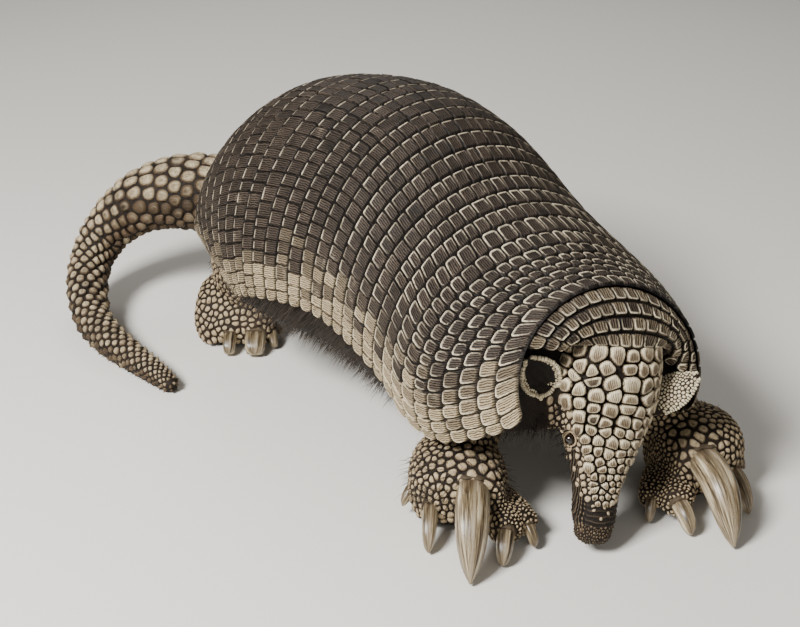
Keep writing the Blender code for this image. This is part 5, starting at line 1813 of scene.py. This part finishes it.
def skin():
    """One skin over head, ears, neck, trunk, legs, feet and tail.

    Overlapping tubes melt into one body, which is thinned out where the shell hides it, made finer
    round the eyes and on the snout, shaped in detail, and joined to the ears.
    """
    made = closed_bodies("flesh", all_flesh())
    remesh = made.modifiers.new("remesh", "REMESH")
    remesh.mode, remesh.voxel_size = "VOXEL", VOXEL
    relax = made.modifiers.new("relax", "SMOOTH")
    relax.factor, relax.iterations = 0.5, 5
    mesh = finished(made)

    hidden = hidden_by_shell(vectors(mesh), vectors(mesh, "normal"))
    made = placed_in_scene("thinner", mesh)
    group = made.vertex_groups.new(name="hidden")
    group.add(np.nonzero(hidden)[0].tolist(), 1.0, "REPLACE")
    thin = made.modifiers.new("thin", "DECIMATE")
    thin.vertex_group = "hidden"
    thin.ratio = 1.0 - HIDDEN_CUT * float(hidden.mean())
    mesh = finished(made)

    shaped = bmesh.new()
    shaped.from_mesh(mesh)
    eyes_at = [Vector(eye_middle(hand)) for hand in (1, -1)]
    snout = Vector(head_place(0.150, 0.0, -0.02))
    for reach, rounds in ((SNOUT_FINE, 1), (0.0, 2)):
        for _ in range(rounds):
            edges = []
            for edge in shaped.edges:
                middle = (edge.verts[0].co + edge.verts[1].co) / 2
                close = min((middle - eye).length for eye in eyes_at) < EYE_FINE
                if close or (middle - snout).length < reach:
                    edges.append(edge)
            bmesh.ops.subdivide_edges(shaped, edges=edges, cuts=1, use_grid_fill=True)
    bmesh.ops.triangulate(shaped, faces=[f for f in shaped.faces if len(f.verts) > 4])
    shaped.to_mesh(mesh)
    shaped.free()

    points, normals = vectors(mesh), vectors(mesh, "normal")
    points -= normals * COAT_DEPTH
    points = face_detail(points, normals)
    points[:, 2] = np.maximum(points[:, 2], FLOOR)
    mesh.vertices.foreach_set("co", points.astype(np.float32).ravel())
    made = placed_in_scene("skin_body", mesh)
    for side in (1, -1):
        leaf = closed_bodies("ear_leaf", [ear_flesh(side)])
        leaf.data.flip_normals()
        join = made.modifiers.new("ear", "BOOLEAN")
        join.operation, join.solver, join.object = "UNION", "EXACT", leaf
    mesh = finished(made)
    for leaf in [o for o in bpy.data.objects if o.name.startswith("ear_leaf")]:
        bpy.data.objects.remove(leaf)
    faces = [tuple(face.vertices) for face in mesh.polygons]
    lay, layers = skin_layers(vectors(mesh))
    stands_for = [*FLESH, "ear_left", "ear_right"]
    piece("skin", vectors(mesh), faces, creased_hide(), "skin", stands_for, lay, **layers)


# ---------------------------------------------------------------- the studio
CAMERA_AZIMUTH, CAMERA_ELEVATION = math.radians(-34.3), math.radians(26.4)
CAMERA_DISTANCE = 1.567
CAMERA_TARGET = np.array((-0.059, 0.012, 0.130))
PAPER_HALF = 12.0
LIT_PLACE = (0.0, 0.0, 0.12)
LIGHTS = (  # place, size in metres, power in watts
    ("key", (-1.80, -0.50, 1.85), 0.70, 150.0),
    ("fill", (-1.1, -2.4, 1.2), 1.8, 9.0),
    ("rim", (1.0, 1.9, 2.0), 1.0, 16.0),
)


def aimed(made, place, way):
    """Puts a camera or a light at a place, looking along a way."""
    made.location = place
    made.rotation_mode = "QUATERNION"
    made.rotation_quaternion = way.to_track_quat("-Z", "Y")


def studio():
    """The camera, a pale floor, a bright key, a soft fill, a rim light and a dim pale sky."""
    back = Vector((
        math.sin(CAMERA_AZIMUTH) * math.cos(CAMERA_ELEVATION),
        -math.cos(CAMERA_AZIMUTH) * math.cos(CAMERA_ELEVATION),
        math.sin(CAMERA_ELEVATION),
    ))
    camera = placed_in_scene("camera", bpy.data.cameras.new("camera"))
    camera.data.lens, camera.data.sensor_width = 60.0, 36.0
    aimed(camera, Vector(CAMERA_TARGET + SHIFT) + back * CAMERA_DISTANCE, -back)
    bpy.context.scene.camera = camera

    mesh = bpy.data.meshes.new("floor")
    corners = [(-PAPER_HALF, -PAPER_HALF), (PAPER_HALF, -PAPER_HALF), (PAPER_HALF, PAPER_HALF),
               (-PAPER_HALF, PAPER_HALF)]
    mesh.from_pydata([(*corner, FLOOR) for corner in corners], [], [(0, 1, 2, 3)])
    mesh.materials.append(studio_paper())
    floor = placed_in_scene("floor", mesh)

    for name, place, size, watts in LIGHTS:
        light = placed_in_scene(name, bpy.data.lights.new(name, "AREA"))
        light.data.size, light.data.energy = size, watts
        aimed(light, Vector(place), Vector(LIT_PLACE) - Vector(place))
    world = bpy.data.worlds.new("studio")
    world.use_nodes = True
    world.node_tree.nodes["Background"].inputs["Color"].default_value = linear("#f2f0ec")
    world.node_tree.nodes["Background"].inputs["Strength"].default_value = 0.24
    bpy.context.scene.world = world


studio()
carapace()
head_shield()
skin()
tail_scales()
limb_scales()
face_scales()
ear_granules()
bristles()
claws()
eyes()
